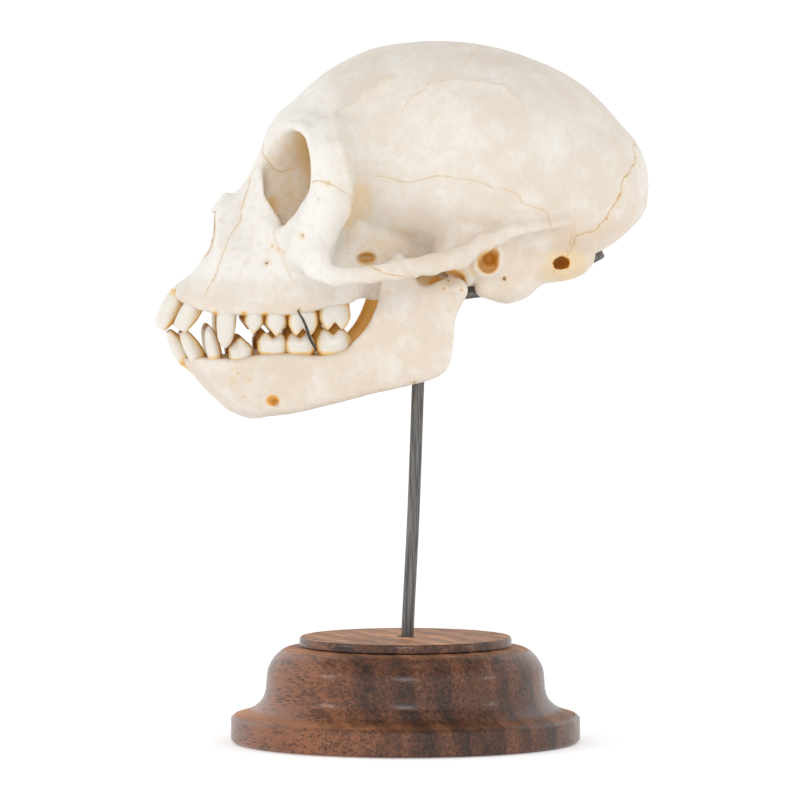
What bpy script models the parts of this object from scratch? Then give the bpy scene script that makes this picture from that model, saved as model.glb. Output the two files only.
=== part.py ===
"""Skull of a young vervet monkey on a turned walnut stand.

Frame: metres, +Z up, origin at the centre of the base's underside. The face looks
towards -Y and the skull's left side is +X. The bones are modelled as smooth solids
from named landmarks in millimetres, on the left half, and mirrored.
"""
import math

import bmesh
import bpy
import numpy as np
import openvdb
from mathutils import Matrix, Vector

# Driving dimensions, millimetres
MM = 0.001
BRAIN_CENTRE = (12.0, 113.0)   # Y, Z of the middle of the braincase
BRAIN_HALF_BREADTH = 26.5
BRAIN_WALL = 2.4
ORBIT_RADIUS = 10.3
ARCH_HALF_BREADTH = 30.0       # cheek arch, from the midplane
SOCKET_GROW = 0.32             # room round each tooth in its socket
BASE_HEIGHT = 20.9
ROD_RADIUS = 1.25
ROD_HOLE_RADIUS = 2.1
ROD_HOLE_FLOOR = 7.0
WIRE_RADIUS = 0.42
GRID_STEP = 0.8
CRANIUM_TRIANGLES = 3150
MANDIBLE_TRIANGLES = 950

# Outlines in the midplane, Y and Z
VAULT_OUTLINE = [
    (-28.0, 120.0), (-25.2, 125.6), (-22.2, 128.2), (-18.9, 131.5), (-8.7, 137.6), (6.5, 139.8),
    (25.1, 136.4), (33.2, 132.5), (39.0, 127.8), (43.0, 123.4), (46.9, 118.4), (48.5, 110.6),
    (47.7, 105.8), (45.2, 102.6), (38.5, 97.6), (25.3, 94.0), (10.0, 95.0), (-3.0, 99.0),
    (-14.0, 104.0), (-23.0, 111.0)]
VAULT_BREADTH = [(-28, 0.84), (-12, 0.83), (0, 0.87), (10, 0.95), (20, 1.0), (30, 1.0), (50, 0.93)]
SNOUT_TOP = [
    (-46.6, 90.2), (-45.6, 91.4), (-44.2, 92.4), (-42.7, 93.6), (-41.3, 94.9), (-40.2, 96.6),
    (-39.1, 98.4), (-38.5, 100.6), (-38.3, 103.0), (-38.1, 105.4), (-37.6, 106.8),
    (-35.1, 109.0), (-32.4, 111.3), (-31.0, 113.5), (-29.2, 117.4), (-27.5, 120.5), (-6.0, 121.0)]
SNOUT_BOTTOM = [
    (-46.6, 89.2), (-44.5, 87.7), (-41.0, 86.5), (-36.0, 85.8), (-28.0, 85.7), (-21.0, 86.0),
    (-16.0, 87.4), (-11.5, 88.3), (-8.3, 90.4), (-6.0, 92.2)]
SNOUT_BREADTH = [
    (-46.9, 3.0), (-46.0, 6.2), (-44.0, 9.2), (-41.0, 11.6), (-36.0, 13.8), (-30.0, 14.6),
    (-22.0, 16.0), (-15.0, 16.3), (-10.0, 15.2), (-6.0, 12.2)]
JAW_FRONT = [
    (64.0, -31.0), (65.3, -33.5), (66.0, -35.2), (68.3, -38.2), (70.8, -40.6), (73.2, -42.6),
    (75.5, -44.6), (77.0, -45.5), (100.0, -46.0)]
JAW_OUTLINE = [
    (-45.6, 77.0), (-44.6, 75.5), (-40.6, 70.8), (-35.2, 66.0), (-31.0, 64.8), (-27.5, 65.4),
    (-22.0, 66.4), (-12.1, 68.9), (-1.0, 71.7), (5.0, 73.5), (7.5, 76.1), (8.1, 80.0),
    (8.7, 85.6), (10.9, 90.4), (10.1, 92.9), (8.0, 93.6), (5.3, 93.0), (2.6, 92.0),
    (0.6, 93.4), (-1.4, 97.6), (-3.2, 98.4), (-5.0, 96.3), (-6.3, 92.2), (-6.9, 88.2),
    (-8.7, 83.8), (-11.2, 80.8), (-13.0, 78.9), (-18.0, 77.9), (-24.0, 78.3), (-30.0, 78.1),
    (-34.0, 76.4), (-37.0, 77.4), (-41.0, 77.2), (-43.6, 76.9)]
JAW_HALF_WIDTH = [
    (0.0, 0.4), (0.8, 3.4), (2.0, 5.8), (5.0, 8.8), (9.0, 11.2), (14.0, 12.9), (20.0, 14.0),
    (28.0, 15.2), (36.0, 17.4), (44.0, 20.0), (52.0, 21.6), (62.0, 23.0)]
JAW_INNER_WIDTH = [
    (8.5, -2.0), (9.5, 2.0), (12.0, 5.2), (16.0, 7.0), (22.0, 8.0), (28.0, 9.0), (34.0, 11.4),
    (40.0, 15.6), (45.0, 17.8), (52.0, 19.2), (62.0, 20.6)]

# Half profile of the turned base, radius and height from the rim of the top disc down
BASE_PROFILE = [
    (20.9, 20.9), (21.2, 20.5), (21.2, 19.3), (20.6, 19.0), (23.9, 18.6), (25.9, 17.2),
    (27.4, 14.8), (27.8, 12.2), (28.0, 10.2), (28.8, 8.2), (31.0, 6.4), (34.2, 5.3),
    (34.9, 4.7), (34.9, 0.6), (34.4, 0.0)]
ROD_ROUTE = [
    (0.1, ROD_HOLE_FLOOR + 0.5), (0.4, 21.5), (1.6, 46.0), (2.5, 71.0), (3.0, 82.5), (4.2, 86.4),
    (7.6, 88.7), (12.5, 89.6), (18.5, 90.3), (24.5, 91.7), (29.5, 93.3), (34.0, 95.0), (39.4, 97.7)]

# Crown outlines: part of the crown's height, then the share of its length and breadth
INCISOR = [(0.0, 0.8, 0.9), (0.4, 0.96, 1.0), (0.78, 1.0, 0.86), (1.0, 0.86, 0.46)]
CANINE = [(0.0, 0.9, 0.88), (0.3, 1.0, 1.0), (0.68, 0.84, 0.8), (1.0, 0.2, 0.2)]
PREMOLAR = [(0.0, 0.88, 0.88), (0.4, 1.0, 1.0), (0.72, 0.94, 0.86), (0.92, 0.56, 0.6)]
MOLAR = [(0.0, 0.88, 0.88), (0.4, 1.0, 1.0), (0.74, 0.95, 0.86), (0.9, 0.8, 0.66)]

# Left teeth: crown outline, root end, neck, tip (each X Y Z), length, breadth, turn from X
TEETH = {
    "upper_left_incisor_1":
        (INCISOR, (2.4, -39.8, 93.4), (2.9, -45.0, 89.4), (2.9, -49.1, 82.8), 4.8, 4.0, 20),
    "upper_left_incisor_2":
        (INCISOR, (5.8, -37.6, 93.4), (7.2, -41.9, 88.2), (7.5, -45.5, 82.8), 4.0, 3.9, 42),
    "upper_left_canine":
        (CANINE, (8.8, -32.8, 95.5), (10.9, -36.1, 87.6), (11.6, -36.6, 79.3), 3.9, 4.4, 80),
    "upper_left_premolar_1":
        (PREMOLAR, (10.7, -30.0, 91.6), (11.6, -30.7, 86.6), (11.9, -31.0, 82.0), 3.5, 4.6, 86),
    "upper_left_premolar_2":
        (PREMOLAR, (11.1, -26.0, 91.6), (12.0, -26.5, 86.6), (12.3, -26.5, 81.6), 4.0, 5.0, 88),
    "upper_left_molar_1":
        (MOLAR, (11.7, -20.8, 91.8), (12.5, -21.2, 86.8), (12.8, -21.2, 81.8), 5.6, 5.5, 88),
    "upper_left_molar_2":
        (MOLAR, (11.9, -14.6, 92.8), (12.7, -15.0, 88.1), (13.0, -14.9, 82.9), 5.9, 5.7, 88),
    "lower_left_incisor_1":
        (INCISOR, (1.6, -39.2, 71.6), (1.8, -43.7, 76.4), (1.7, -47.3, 82.2), 2.9, 3.6, 6),
    "lower_left_incisor_2":
        (INCISOR, (3.9, -37.2, 71.6), (4.9, -41.3, 76.4), (4.9, -44.6, 82.2), 2.8, 3.6, 30),
    "lower_left_canine":
        (CANINE, (6.6, -34.8, 71.6), (7.7, -38.2, 76.8), (7.8, -39.7, 83.4), 2.8, 3.6, 66),
    "lower_left_premolar_1":
        (PREMOLAR, (8.6, -32.4, 71.6), (9.3, -33.3, 76.6), (9.2, -33.3, 81.2), 4.6, 4.0, 80),
    "lower_left_premolar_2":
        (PREMOLAR, (10.2, -26.8, 72.6), (10.5, -27.2, 77.8), (10.2, -27.0, 81.3), 5.5, 4.5, 86),
    "lower_left_molar_1":
        (MOLAR, (11.4, -21.2, 72.8), (11.3, -21.5, 78.0), (10.9, -21.4, 81.3), 5.6, 4.9, 86),
    "lower_left_molar_2":
        (MOLAR, (12.8, -14.6, 73.0), (12.3, -15.0, 77.9), (11.8, -14.9, 82.6), 6.6, 5.2, 86),
}


# Scene helpers

def clear_scene():
    for item in list(bpy.data.objects):
        bpy.data.objects.remove(item, do_unlink=True)


def make_material(name, colour, roughness, metallic=0.0):
    """Principled material with linear RGB colour."""
    material = bpy.data.materials.new(name)
    material.use_nodes = True
    shader = material.node_tree.nodes["Principled BSDF"]
    shader.inputs["Base Color"].default_value = (*colour, 1.0)
    shader.inputs["Roughness"].default_value = roughness
    shader.inputs["Metallic"].default_value = metallic
    return material


def add_mesh(name, vertices, faces, material=None):
    """Object from vertices in millimetres."""
    mesh = bpy.data.meshes.new(name)
    mesh.from_pydata([Vector(v) * MM for v in vertices], [], faces)
    mesh.validate()
    if material:
        mesh.materials.append(material)
    item = bpy.data.objects.new(name, mesh)
    bpy.context.collection.objects.link(item)
    return item


# Smooth solids as distance fields: negative inside

class HalfGrid:
    """Sample points of the left half, X above 0, in millimetres."""

    def __init__(self, low, high, step):
        self.step = step
        self.low = low
        counts = [math.ceil((high[i] - low[i]) / step) for i in range(3)]
        axes = [low[i] + (np.arange(counts[i]) + 0.5) * step for i in range(3)]
        self.x = axes[0].reshape(-1, 1, 1)
        self.y = axes[1].reshape(1, -1, 1)
        self.z = axes[2].reshape(1, 1, -1)


def union(a, b, blend):
    """Smooth union that fills the corner over about the blend distance."""
    h = np.clip(0.5 + 0.5 * (b - a) / blend, 0, 1)
    return b + (a - b) * h - blend * h * (1 - h)


def cut(a, b, blend):
    """Field a with field b taken away, its edge eased by the blend distance."""
    return -union(-a, b, blend)


def ellipsoid(g, centre, radii):
    scaled = [(axis - c) / r for axis, c, r in zip((g.x, g.y, g.z), centre, radii)]
    squared = [(axis - c) / r ** 2 for axis, c, r in zip((g.x, g.y, g.z), centre, radii)]
    near = np.sqrt(sum(s * s for s in scaled))
    slope = np.sqrt(sum(s * s for s in squared)) + 1e-6
    return near * (near - 1) / slope


def limb(g, points, squash=(1.0, 1.0, 1.0)):
    """Chain of tapered rods through points (x, y, z, radius), thinned along an axis by squash."""
    result = None
    for start, end in zip(points, points[1:]):
        a = [start[i] / squash[i] for i in range(3)]
        d = [end[i] / squash[i] - a[i] for i in range(3)]
        px, py, pz = (axis / squash[i] - a[i] for i, axis in enumerate((g.x, g.y, g.z)))
        t = np.clip((px * d[0] + py * d[1] + pz * d[2]) / sum(v * v for v in d), 0, 1)
        gap = np.sqrt((px - t * d[0]) ** 2 + (py - t * d[1]) ** 2 + (pz - t * d[2]) ** 2)
        rod = (gap - start[3] - t * (end[3] - start[3])) * min(squash)
        result = rod if result is None else union(result, rod, 0.8)
    return result


def along(values, knots):
    """Smooth value at each place, through knots (place, value)."""
    places, heights = np.array(knots, float).T
    slopes = np.gradient(heights, places)
    i = np.clip(np.searchsorted(places, values) - 1, 0, len(places) - 2)
    width = places[i + 1] - places[i]
    t = np.clip((values - places[i]) / width, 0, 1)
    start = (2 * t ** 3 - 3 * t ** 2 + 1) * heights[i] + (t ** 3 - 2 * t ** 2 + t) * width * slopes[i]
    end = (3 * t ** 2 - 2 * t ** 3) * heights[i + 1] + (t ** 3 - t ** 2) * width * slopes[i + 1]
    return start + end


def outline_radius(angle, centre, outline):
    """Distance from the centre to a closed outline, read smoothly by angle."""
    offset = np.array(outline) - np.array(centre)
    angles = np.arctan2(offset[:, 1], offset[:, 0])
    order = np.argsort(angles)
    angles, radii = angles[order], np.hypot(*offset.T)[order]
    turns = np.concatenate([angles - 2 * math.pi, angles, angles + 2 * math.pi])
    return along(angle, list(zip(turns, np.tile(radii, 3))))


def outline_gap(g, outline):
    """Distance in the side view to a closed smooth outline, negative inside."""
    corners = np.array(outline)
    before, after = np.roll(corners, 1, 0), np.roll(corners, -1, 0)
    t = np.array([0.0, 0.34, 0.67])[:, None, None]
    ease = t * t * (3 - 2 * t)
    slope_a = (after - before) / 2
    slope_b = np.roll(slope_a, -1, 0)
    curve = corners * (1 - ease) + after * ease
    curve = curve + (t ** 3 - 2 * t ** 2 + t) * slope_a + (t ** 3 - t ** 2) * slope_b
    path = curve.transpose(1, 0, 2).reshape(-1, 2)
    y, z = np.broadcast_arrays(g.y[0], g.z[0])
    nearest = np.full(y.shape, 1e9)
    inside = np.zeros(y.shape, bool)
    for (y0, z0), (y1, z1) in zip(path, np.roll(path, -1, 0)):
        dy, dz = y1 - y0, z1 - z0
        t = np.clip(((y - y0) * dy + (z - z0) * dz) / (dy * dy + dz * dz), 0, 1)
        nearest = np.minimum(nearest, np.hypot(y - y0 - t * dy, z - z0 - t * dz))
        if z0 != z1:
            inside ^= ((z0 > z) != (z1 > z)) & (y < y0 + (z - z0) * dy / (z1 - z0))
    return np.where(inside, -nearest, nearest)[None]


# The cranium

def vault(g):
    """Braincase: the midplane outline, swelled sideways."""
    dy, dz = g.y - BRAIN_CENTRE[0], g.z - BRAIN_CENTRE[1]
    reach = outline_radius(np.arctan2(dz, dy), BRAIN_CENTRE, VAULT_OUTLINE)
    breadth = BRAIN_HALF_BREADTH * along(g.y, VAULT_BREADTH)
    share = ((np.hypot(dy, dz) / reach) ** 2.3 + (g.x / breadth) ** 2.3) ** (1 / 2.3)
    return (share - 1) * 27


def orbit(g, grow=0.0):
    """Eye socket: a cone that narrows backwards and inwards, closed in front by the nose's root."""
    cone = limb(g, [(14.2, -27.5, 112.6, ORBIT_RADIUS + grow), (12.0, -19.0, 112.0, ORBIT_RADIUS - 0.8 + grow),
                    (6.5, -5.5, 109.5, 3.4 + grow)])
    root = -28.4 - g.y + 0.6 * np.clip(109.5 - g.z, 0, 10) - 0.5 * np.clip(g.x - 11, 0, 20)
    return cut(cone, -root, 1.5)


def brow(g):
    """Brow, side post and lower rim round the eye socket."""
    return limb(g, [
        (0.0, -24.0, 121.0, 2.8), (6.0, -21.8, 123.0, 2.2), (12.5, -19.6, 124.2, 1.9),
        (18.5, -17.0, 122.0, 1.9), (22.4, -15.8, 118.0, 2.1), (24.0, -15.4, 113.0, 2.2),
        (23.4, -16.6, 107.5, 2.4), (20.6, -19.8, 102.4, 2.6), (15.5, -23.0, 100.2, 2.6),
        (9.5, -25.6, 101.6, 2.4), (5.2, -27.2, 106.5, 1.9)])


def side_post(g):
    """Flat plate between the socket's side and the temple."""
    return limb(g, [(18.6, -13.4, 120.0, 2.2), (22.6, -15.4, 114.0, 2.6), (22.8, -17.4, 106.0, 2.9),
                    (21.8, -19.4, 99.0, 3.4)], squash=(0.55, 1, 1))


def temple_crest(g):
    """Low ridge from the side post up over the temple."""
    return limb(g, [(20.6, -16.4, 118.5, 1.6), (17.8, -15.6, 122.5, 1.4), (14.6, -13.0, 126.2, 1.0),
                    (12.6, -8.4, 130.2, 0.5)])


def orbit_rim(g):
    """Crisp edge of the eye socket, pointed where the cheek meets the nose."""
    return limb(g, [
        (10.0, -23.6, 124.4, 1.0), (14.0, -22.8, 124.5, 1.2), (18.2, -20.0, 122.4, 1.3),
        (21.2, -18.4, 117.6, 1.4), (22.0, -18.2, 112.0, 1.5), (20.2, -20.4, 107.0, 1.6),
        (16.5, -22.7, 103.5, 1.7), (12.3, -25.4, 101.0, 1.6), (9.4, -28.0, 103.4, 1.2)])


def snout(g):
    """Upper jaw and nose: cross sections that narrow towards the bridge."""
    top, bottom = along(g.y, SNOUT_TOP), along(g.y, SNOUT_BOTTOM)
    height = np.clip((g.z - bottom) / np.maximum(top - bottom, 1), 0, 1.2)
    high_nose = np.clip((top - 98) / 12, 0, 1)
    narrow = 1 - (0.45 + 0.27 * high_nose) * height ** (2.2 - 0.9 * high_nose)
    side = np.abs(g.x) - along(g.y, SNOUT_BREADTH) * narrow
    body = cut(side, top - g.z, 1.5)
    body = cut(body, g.z - bottom, 1.6)
    body = cut(body, g.y + 46.9, 0.8)
    return cut(body, -6.0 - g.y, 1.5)


def cheek_arch(g):
    """Cheek bone body and the arch that runs back to the ear."""
    body = limb(g, [(12.5, -21.5, 97.5, 4.0), (18.5, -20.6, 98.2, 3.7), (23.3, -19.2, 97.6, 2.9)])
    arch = limb(g, [
        (24.5, -19.0, 95.2, 2.3), (27.0, -15.5, 93.7, 1.85), (29.0, -9.0, 94.3, 1.75),
        (ARCH_HALF_BREADTH, -3.5, 95.3, 2.05), (ARCH_HALF_BREADTH, 3.0, 96.3, 2.0),
        (28.2, 8.6, 97.5, 2.0), (25.6, 13.5, 100.0, 1.9)], squash=(0.7, 1, 1))
    crest = limb(g, [(25.6, 13.5, 100.2, 1.7), (25.4, 20.0, 103.0, 1.3), (23.2, 30.0, 104.2, 1.0)])
    return union(union(body, arch, 2.0), crest, 1.5)


def ear_region(g):
    """Temporal bone below the braincase: ear tube, joint roof, mastoid and condyle."""
    bone = ellipsoid(g, (17.5, 12.5, 98.5), (7.5, 8.5, 6.0))
    bone = union(bone, limb(g, [(16, 14.8, 96.2, 3.6), (21.8, 14.6, 96.4, 3.3)]), 1.2)
    bone = union(bone, ellipsoid(g, (17.0, 18.9, 93.6), (5.2, 6.6, 5.4)), 1.5)
    bone = union(bone, limb(g, [(19.4, 14.4, 91.4, 2.2), (18.0, 18.6, 90.6, 2.4)]), 1.0)
    bone = union(bone, ellipsoid(g, (15.0, 27.0, 97.4), (8.0, 9.5, 5.4)), 2.5)
    bone = union(bone, limb(g, [(20.6, 10.8, 96.5, 1.9), (20.6, 10.9, 92.8, 1.2)]), 0.8)
    return union(bone, limb(g, [(23.5, 7.0, 97.6, 2.2), (17.5, 7.5, 98.0, 2.6)]), 1.5)


def skull_base(g):
    """Middle of the base: sphenoid and its wings, occipital condyles, plates behind the palate."""
    bone = limb(g, [(0, -12, 100.5, 5.5), (0, 4, 97.8, 4.0), (0, 23, 97.0, 2.2)])
    bone = union(bone, ellipsoid(g, (8.0, 19.4, 91.4), (3.3, 4.2, 3.7)), 1.5)
    plate = limb(g, [(10.2, -7.0, 90.4, 1.9), (10.2, -4.0, 94.5, 3.0), (9.0, 2.0, 97.0, 3.0)], squash=(0.6, 1, 1))
    wing = limb(g, [(10.5, -9.5, 101.0, 3.2), (10.5, -2.0, 100.5, 3.4), (10.0, 5.0, 99.5, 3.0)], squash=(0.7, 1, 1))
    return union(union(bone, plate, 1.5), wing, 2.0)


def cranium_field(g):
    """Whole upper skull without the tooth sockets."""
    bone = union(vault(g), ear_region(g), 2.5)
    bone = union(bone, skull_base(g), 2.0)
    socket_wall = np.maximum(orbit(g, 1.5), -18.6 + 0.42 * (g.x - 24) - g.y)
    bone = union(bone, socket_wall, 1.0)
    bone = union(bone, snout(g), 2.5)
    bone = union(bone, limb(g, [(10.9, -36.4, 87.6, 2.3), (9.3, -32.5, 97.0, 1.7)]), 1.5)
    bone = union(bone, brow(g), 1.8)
    bone = union(bone, side_post(g), 4.5)
    bone = union(bone, temple_crest(g), 4.0)
    bone = union(bone, cheek_arch(g), 2.0)
    brain = np.maximum(vault(g) + BRAIN_WALL, -orbit(g, 2.9))
    brain = np.maximum(brain, -ear_region(g) - 2.0)
    brain = np.maximum(brain, 97.5 - 0.12 * (g.y - 10) - g.z)
    bone = cut(bone, brain, 0.6)
    bone = cut(bone, limb(g, [(0, 33.4, 84, 6.0), (0, 32.4, 99.0, 6.0)], squash=(1, 1.25, 1)), 0.6)
    bone = cut(bone, ellipsoid(g, (13.0, -8.2, 97.0), (5.0, 2.2, 1.2)), 0.5)
    bone = cut(bone, orbit(g), 0.6)
    bone = union(bone, orbit_rim(g), 1.2)
    nose = limb(g, [(0, -44.0, 99.6, 3.0), (0, -38.0, 101.0, 4.1), (0, -33, 101.5, 4.9),
                    (0, -14, 97.5, 5.0), (0, 2, 90.5, 4.6)], squash=(1, 1, 1.15))
    bone = cut(bone, nose, 0.6)
    palate = limb(g, [(0, -39.5, 84.5, 4.2), (0, -32, 84.4, 6.6), (0, -8, 85.8, 7.8), (0, 0, 85.8, 7.8)])
    bone = cut(bone, palate, 1.2)
    return cut(bone, limb(g, [(27, 14.5, 96.6, 2.2), (13, 15.2, 95.8, 1.7)]), 0.5)


# The lower jaw

def mandible_field(g):
    """Lower jaw: its side outline, folded round the arch of the teeth."""
    depth = g.y - along(g.z, JAW_FRONT)
    lean = 0.05 * np.clip(g.z - 74, 0, 30) * np.clip((depth - 30) / 12, 0, 1)
    outer = np.abs(g.x) - along(depth, JAW_HALF_WIDTH) - lean
    inner = along(depth, JAW_INNER_WIDTH) + lean - np.abs(g.x)
    slab = cut(cut(outer, -inner, 1.5), -outline_gap(g, JAW_OUTLINE), 1.6)
    condyle = ellipsoid(g, (21.2, 7.9, 91.2), (3.3, 2.2, 1.5))
    return union(slab, condyle, 1.2)


def polygonise(field, g):
    """Vertices and faces of the whole solid: the left half and its mirror image."""
    whole = np.concatenate([field[::-1], field]).astype(np.float32)
    volume = openvdb.FloatGrid()
    volume.copyFromArray(whole)
    points, triangles, quads = volume.convertToPolygons(isovalue=0.0, adaptivity=0.0)
    points = (points + 0.5) * g.step + [-whole.shape[0] * g.step / 2, g.low[1], g.low[2]]
    return points, [*triangles.tolist(), *quads.tolist()]


def keep_largest(item):
    """Drop loose crumbs, keeping the one main shell."""
    mesh = bmesh.new()
    mesh.from_mesh(item.data)
    unseen = set(mesh.verts)
    shells = []
    while unseen:
        shell, edge = set(), [unseen.pop()]
        while edge:
            vertex = edge.pop()
            shell.add(vertex)
            near = {e.other_vert(vertex) for e in vertex.link_edges} & unseen
            unseen -= near
            edge.extend(near)
        shells.append(shell)
    for shell in sorted(shells, key=len)[:-1]:
        bmesh.ops.delete(mesh, geom=list(shell), context="VERTS")
    mesh.to_mesh(item.data)
    mesh.free()


def add_bone(name, field, grid, material, triangles, cutters):
    """Bone solid: polygonised, thinned to a triangle count, then cut by its tooth sockets."""
    vertices, faces = polygonise(field, grid)
    item = add_mesh(name, vertices, faces, material)
    keep_largest(item)
    full = sum(len(f.vertices) - 2 for f in item.data.polygons)
    thin = item.modifiers.new("thin", "DECIMATE")
    thin.ratio = triangles / full
    thin.use_collapse_triangulate = True
    sockets = item.modifiers.new("sockets", "BOOLEAN")
    sockets.operation = "DIFFERENCE"
    sockets.solver = "EXACT"
    sockets.operand_type = "COLLECTION"
    sockets.collection = cutters
    item.data.shade_smooth()
    return item


# Teeth

def tooth_frame(tooth):
    """Directions along the row and across it, for a tooth turned by its angle."""
    up = (Vector(tooth[3]) - Vector(tooth[2])).normalized()
    row = Matrix.Rotation(math.radians(tooth[6]), 3, "Z") @ Vector((1, 0, 0))
    row = (row - up * row.dot(up)).normalized()
    return up, row, up.cross(row)


def tooth_rings(tooth, grow):
    """Rings of a tooth from root end to crown: (centre, half length, half breadth)."""
    outline, root, neck, tip, length, breadth, _ = tooth
    root, neck, tip = Vector(root), Vector(neck), Vector(tip)
    below = (root - neck).normalized()
    waist = outline[0]
    rings = [(root + below * grow, 0.5 * waist[1], 0.5 * waist[2])]
    rings += [(neck.lerp(tip, share), across, deep) for share, across, deep in outline]
    return [(c, a * length / 2 + grow, b * breadth / 2 + grow) for c, a, b in rings]


def tooth_shape(tooth, side, grow=0.0):
    """Vertices and faces of a tooth, with raised cusps where it is a molar."""
    outline = tooth[0]
    up, row, across = tooth_frame(tooth)
    rings = tooth_rings(tooth, grow)
    crown = (Vector(tooth[3]) - Vector(tooth[2])).length
    vertices = []
    for number, (centre, half_length, half_breadth) in enumerate(rings):
        for k in range(8):
            angle = math.radians(45 * k + 22.5)
            offset = row * (half_length * math.cos(angle) * 1.06)
            offset += across * (half_breadth * math.sin(angle) * 1.06)
            if outline is MOLAR and number == len(rings) - 1:
                offset += up * (crown * (0.1 if k in (0, 3, 4, 7) else -0.08) + grow)
            vertices.append(centre + offset)
    rise = {id(MOLAR): -0.12, id(PREMOLAR): 0.1}.get(id(outline), 0.0)
    vertices.append(rings[0][0] + (rings[0][0] - rings[1][0]).normalized() * 0.4)
    vertices.append(rings[-1][0] + up * (rise * crown + grow))
    faces = []
    for ring in range(len(rings) - 1):
        for k in range(8):
            a, b = ring * 8 + k, ring * 8 + (k + 1) % 8
            faces.append((a, b, b + 8, a + 8))
    last = (len(rings) - 1) * 8
    for k in range(8):
        faces.append((len(vertices) - 2, (k + 1) % 8, k))
        faces.append((len(vertices) - 1, last + k, last + (k + 1) % 8))
    if side < 0:
        vertices = [Vector((-v.x, v.y, v.z)) for v in vertices]
        faces = [f[::-1] for f in faces]
    return vertices, faces


def add_teeth(enamel):
    """All 28 teeth, and the cutters of their sockets, in one collection for each jaw."""
    cutters = {jaw: bpy.data.collections.new(jaw + "_sockets") for jaw in ("upper", "lower")}
    for left_name, tooth in TEETH.items():
        for side, word in ((1, "left"), (-1, "right")):
            name = left_name.replace("left", word)
            item = add_mesh(name, *tooth_shape(tooth, side), enamel)
            item.data.shade_smooth()
            item.data.set_sharp_from_angle(angle=math.radians(40))
            cutter = add_mesh("socket_" + name, *tooth_shape(tooth, side, SOCKET_GROW))
            cutter.hide_render = True
            cutter.display_type = "WIRE"
            cutters[name[:5]].objects.link(cutter)
    return cutters


# Stand and wires

def add_base(wood):
    """Turned base: a screwed profile with the rod's hole in its top."""
    hole = [(ROD_HOLE_RADIUS, BASE_HEIGHT), (ROD_HOLE_RADIUS, ROD_HOLE_FLOOR), (0.0, ROD_HOLE_FLOOR)]
    profile = [(0.0, 0.0)] + BASE_PROFILE[::-1] + hole
    item = add_mesh("stand_base", [(r, 0, z) for r, z in profile[::-1]], [], wood)
    edges = bmesh.new()
    edges.from_mesh(item.data)
    edges.verts.ensure_lookup_table()
    for a, b in zip(edges.verts[:], edges.verts[1:]):
        edges.edges.new((a, b))
    edges.to_mesh(item.data)
    edges.free()
    screw = item.modifiers.new("turn", "SCREW")
    screw.steps = screw.render_steps = 32
    screw.use_merge_vertices = True
    screw.merge_threshold = 0.00001
    item.data.shade_smooth()
    return item


def add_tube(name, route, radius, material, sides=2):
    """Round bar along a smooth route of (x, y, z) in millimetres."""
    curve = bpy.data.curves.new(name, "CURVE")
    curve.dimensions = "3D"
    curve.bevel_depth = radius * MM
    curve.bevel_resolution = sides
    curve.use_fill_caps = True
    spline = curve.splines.new("POLY")
    spline.points.add(len(route) - 1)
    for point, place in zip(spline.points, route):
        point.co = (*(Vector(place) * MM), 1.0)
    curve.materials.append(material)
    item = bpy.data.objects.new(name, curve)
    bpy.context.collection.objects.link(item)
    return item


def smooth_route(points, pieces):
    """Points of a Catmull-Rom curve through the given points."""
    ends = [points[0], *points, points[-1]]
    route = []
    for a, b, c, d in zip(ends, ends[1:], ends[2:], ends[3:]):
        a, b, c, d = Vector(a), Vector(b), Vector(c), Vector(d)
        for k in range(pieces):
            t = k / pieces
            route.append(0.5 * (2 * b + (c - a) * t + (2 * a - 5 * b + 4 * c - d) * t ** 2
                                + (3 * b - a - 3 * c + d) * t ** 3))
    return route + [Vector(points[-1])]


def add_rod(steel):
    route = smooth_route([(0, y, z) for y, z in ROD_ROUTE], 2)
    return add_tube("stand_rod", route, ROD_RADIUS, steel, sides=2)


def add_jaw_wire(name, side, steel):
    """Tie wire that runs outside the molars from the upper gum edge to the lower."""
    points = [(16.5, -22.0, 85.9), (16.9, -21.2, 84.0), (16.6, -20.0, 81.6), (16.2, -18.9, 79.4)]
    route = smooth_route([(side * x, y, z) for x, y, z in points], 2)
    return add_tube(name, route, WIRE_RADIUS, steel, sides=1)


def main():
    clear_scene()
    bone = make_material("bone", (0.80, 0.74, 0.64), 0.55)
    enamel = make_material("enamel", (0.86, 0.82, 0.74), 0.30)
    wood = make_material("walnut", (0.14, 0.065, 0.035), 0.45)
    steel = make_material("steel", (0.30, 0.29, 0.28), 0.35, 1.0)
    cutters = add_teeth(enamel)
    upper = HalfGrid((0.0, -50.0, 84.0), (33.6, 52.0, 143.0), GRID_STEP)
    add_bone("cranium", cranium_field(upper), upper, bone, CRANIUM_TRIANGLES, cutters["upper"])
    lower = HalfGrid((0.0, -50.0, 61.0), (30.4, 14.0, 102.0), GRID_STEP)
    add_bone("mandible", mandible_field(lower), lower, bone, MANDIBLE_TRIANGLES, cutters["lower"])
    add_base(wood)
    add_rod(steel)
    add_jaw_wire("jaw_wire_left", 1, steel)
    add_jaw_wire("jaw_wire_right", -1, steel)


main()
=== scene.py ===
"""Looks of a young vervet monkey's skull on a turned walnut stand.

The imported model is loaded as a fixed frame. Every visible piece is rebuilt finer here,
in the same place, and dressed with a procedural material. Lengths are in millimetres
until a mesh is made, and the frame is in metres: +Z up, face towards -Y, left side +X.
"""
from __future__ import annotations

import logging
import math
from dataclasses import dataclass, field
from enum import Enum
from itertools import product
from typing import Iterable, Sequence

import bmesh
import bpy
import numpy as np
import openvdb
from mathutils import Matrix, Vector

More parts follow.
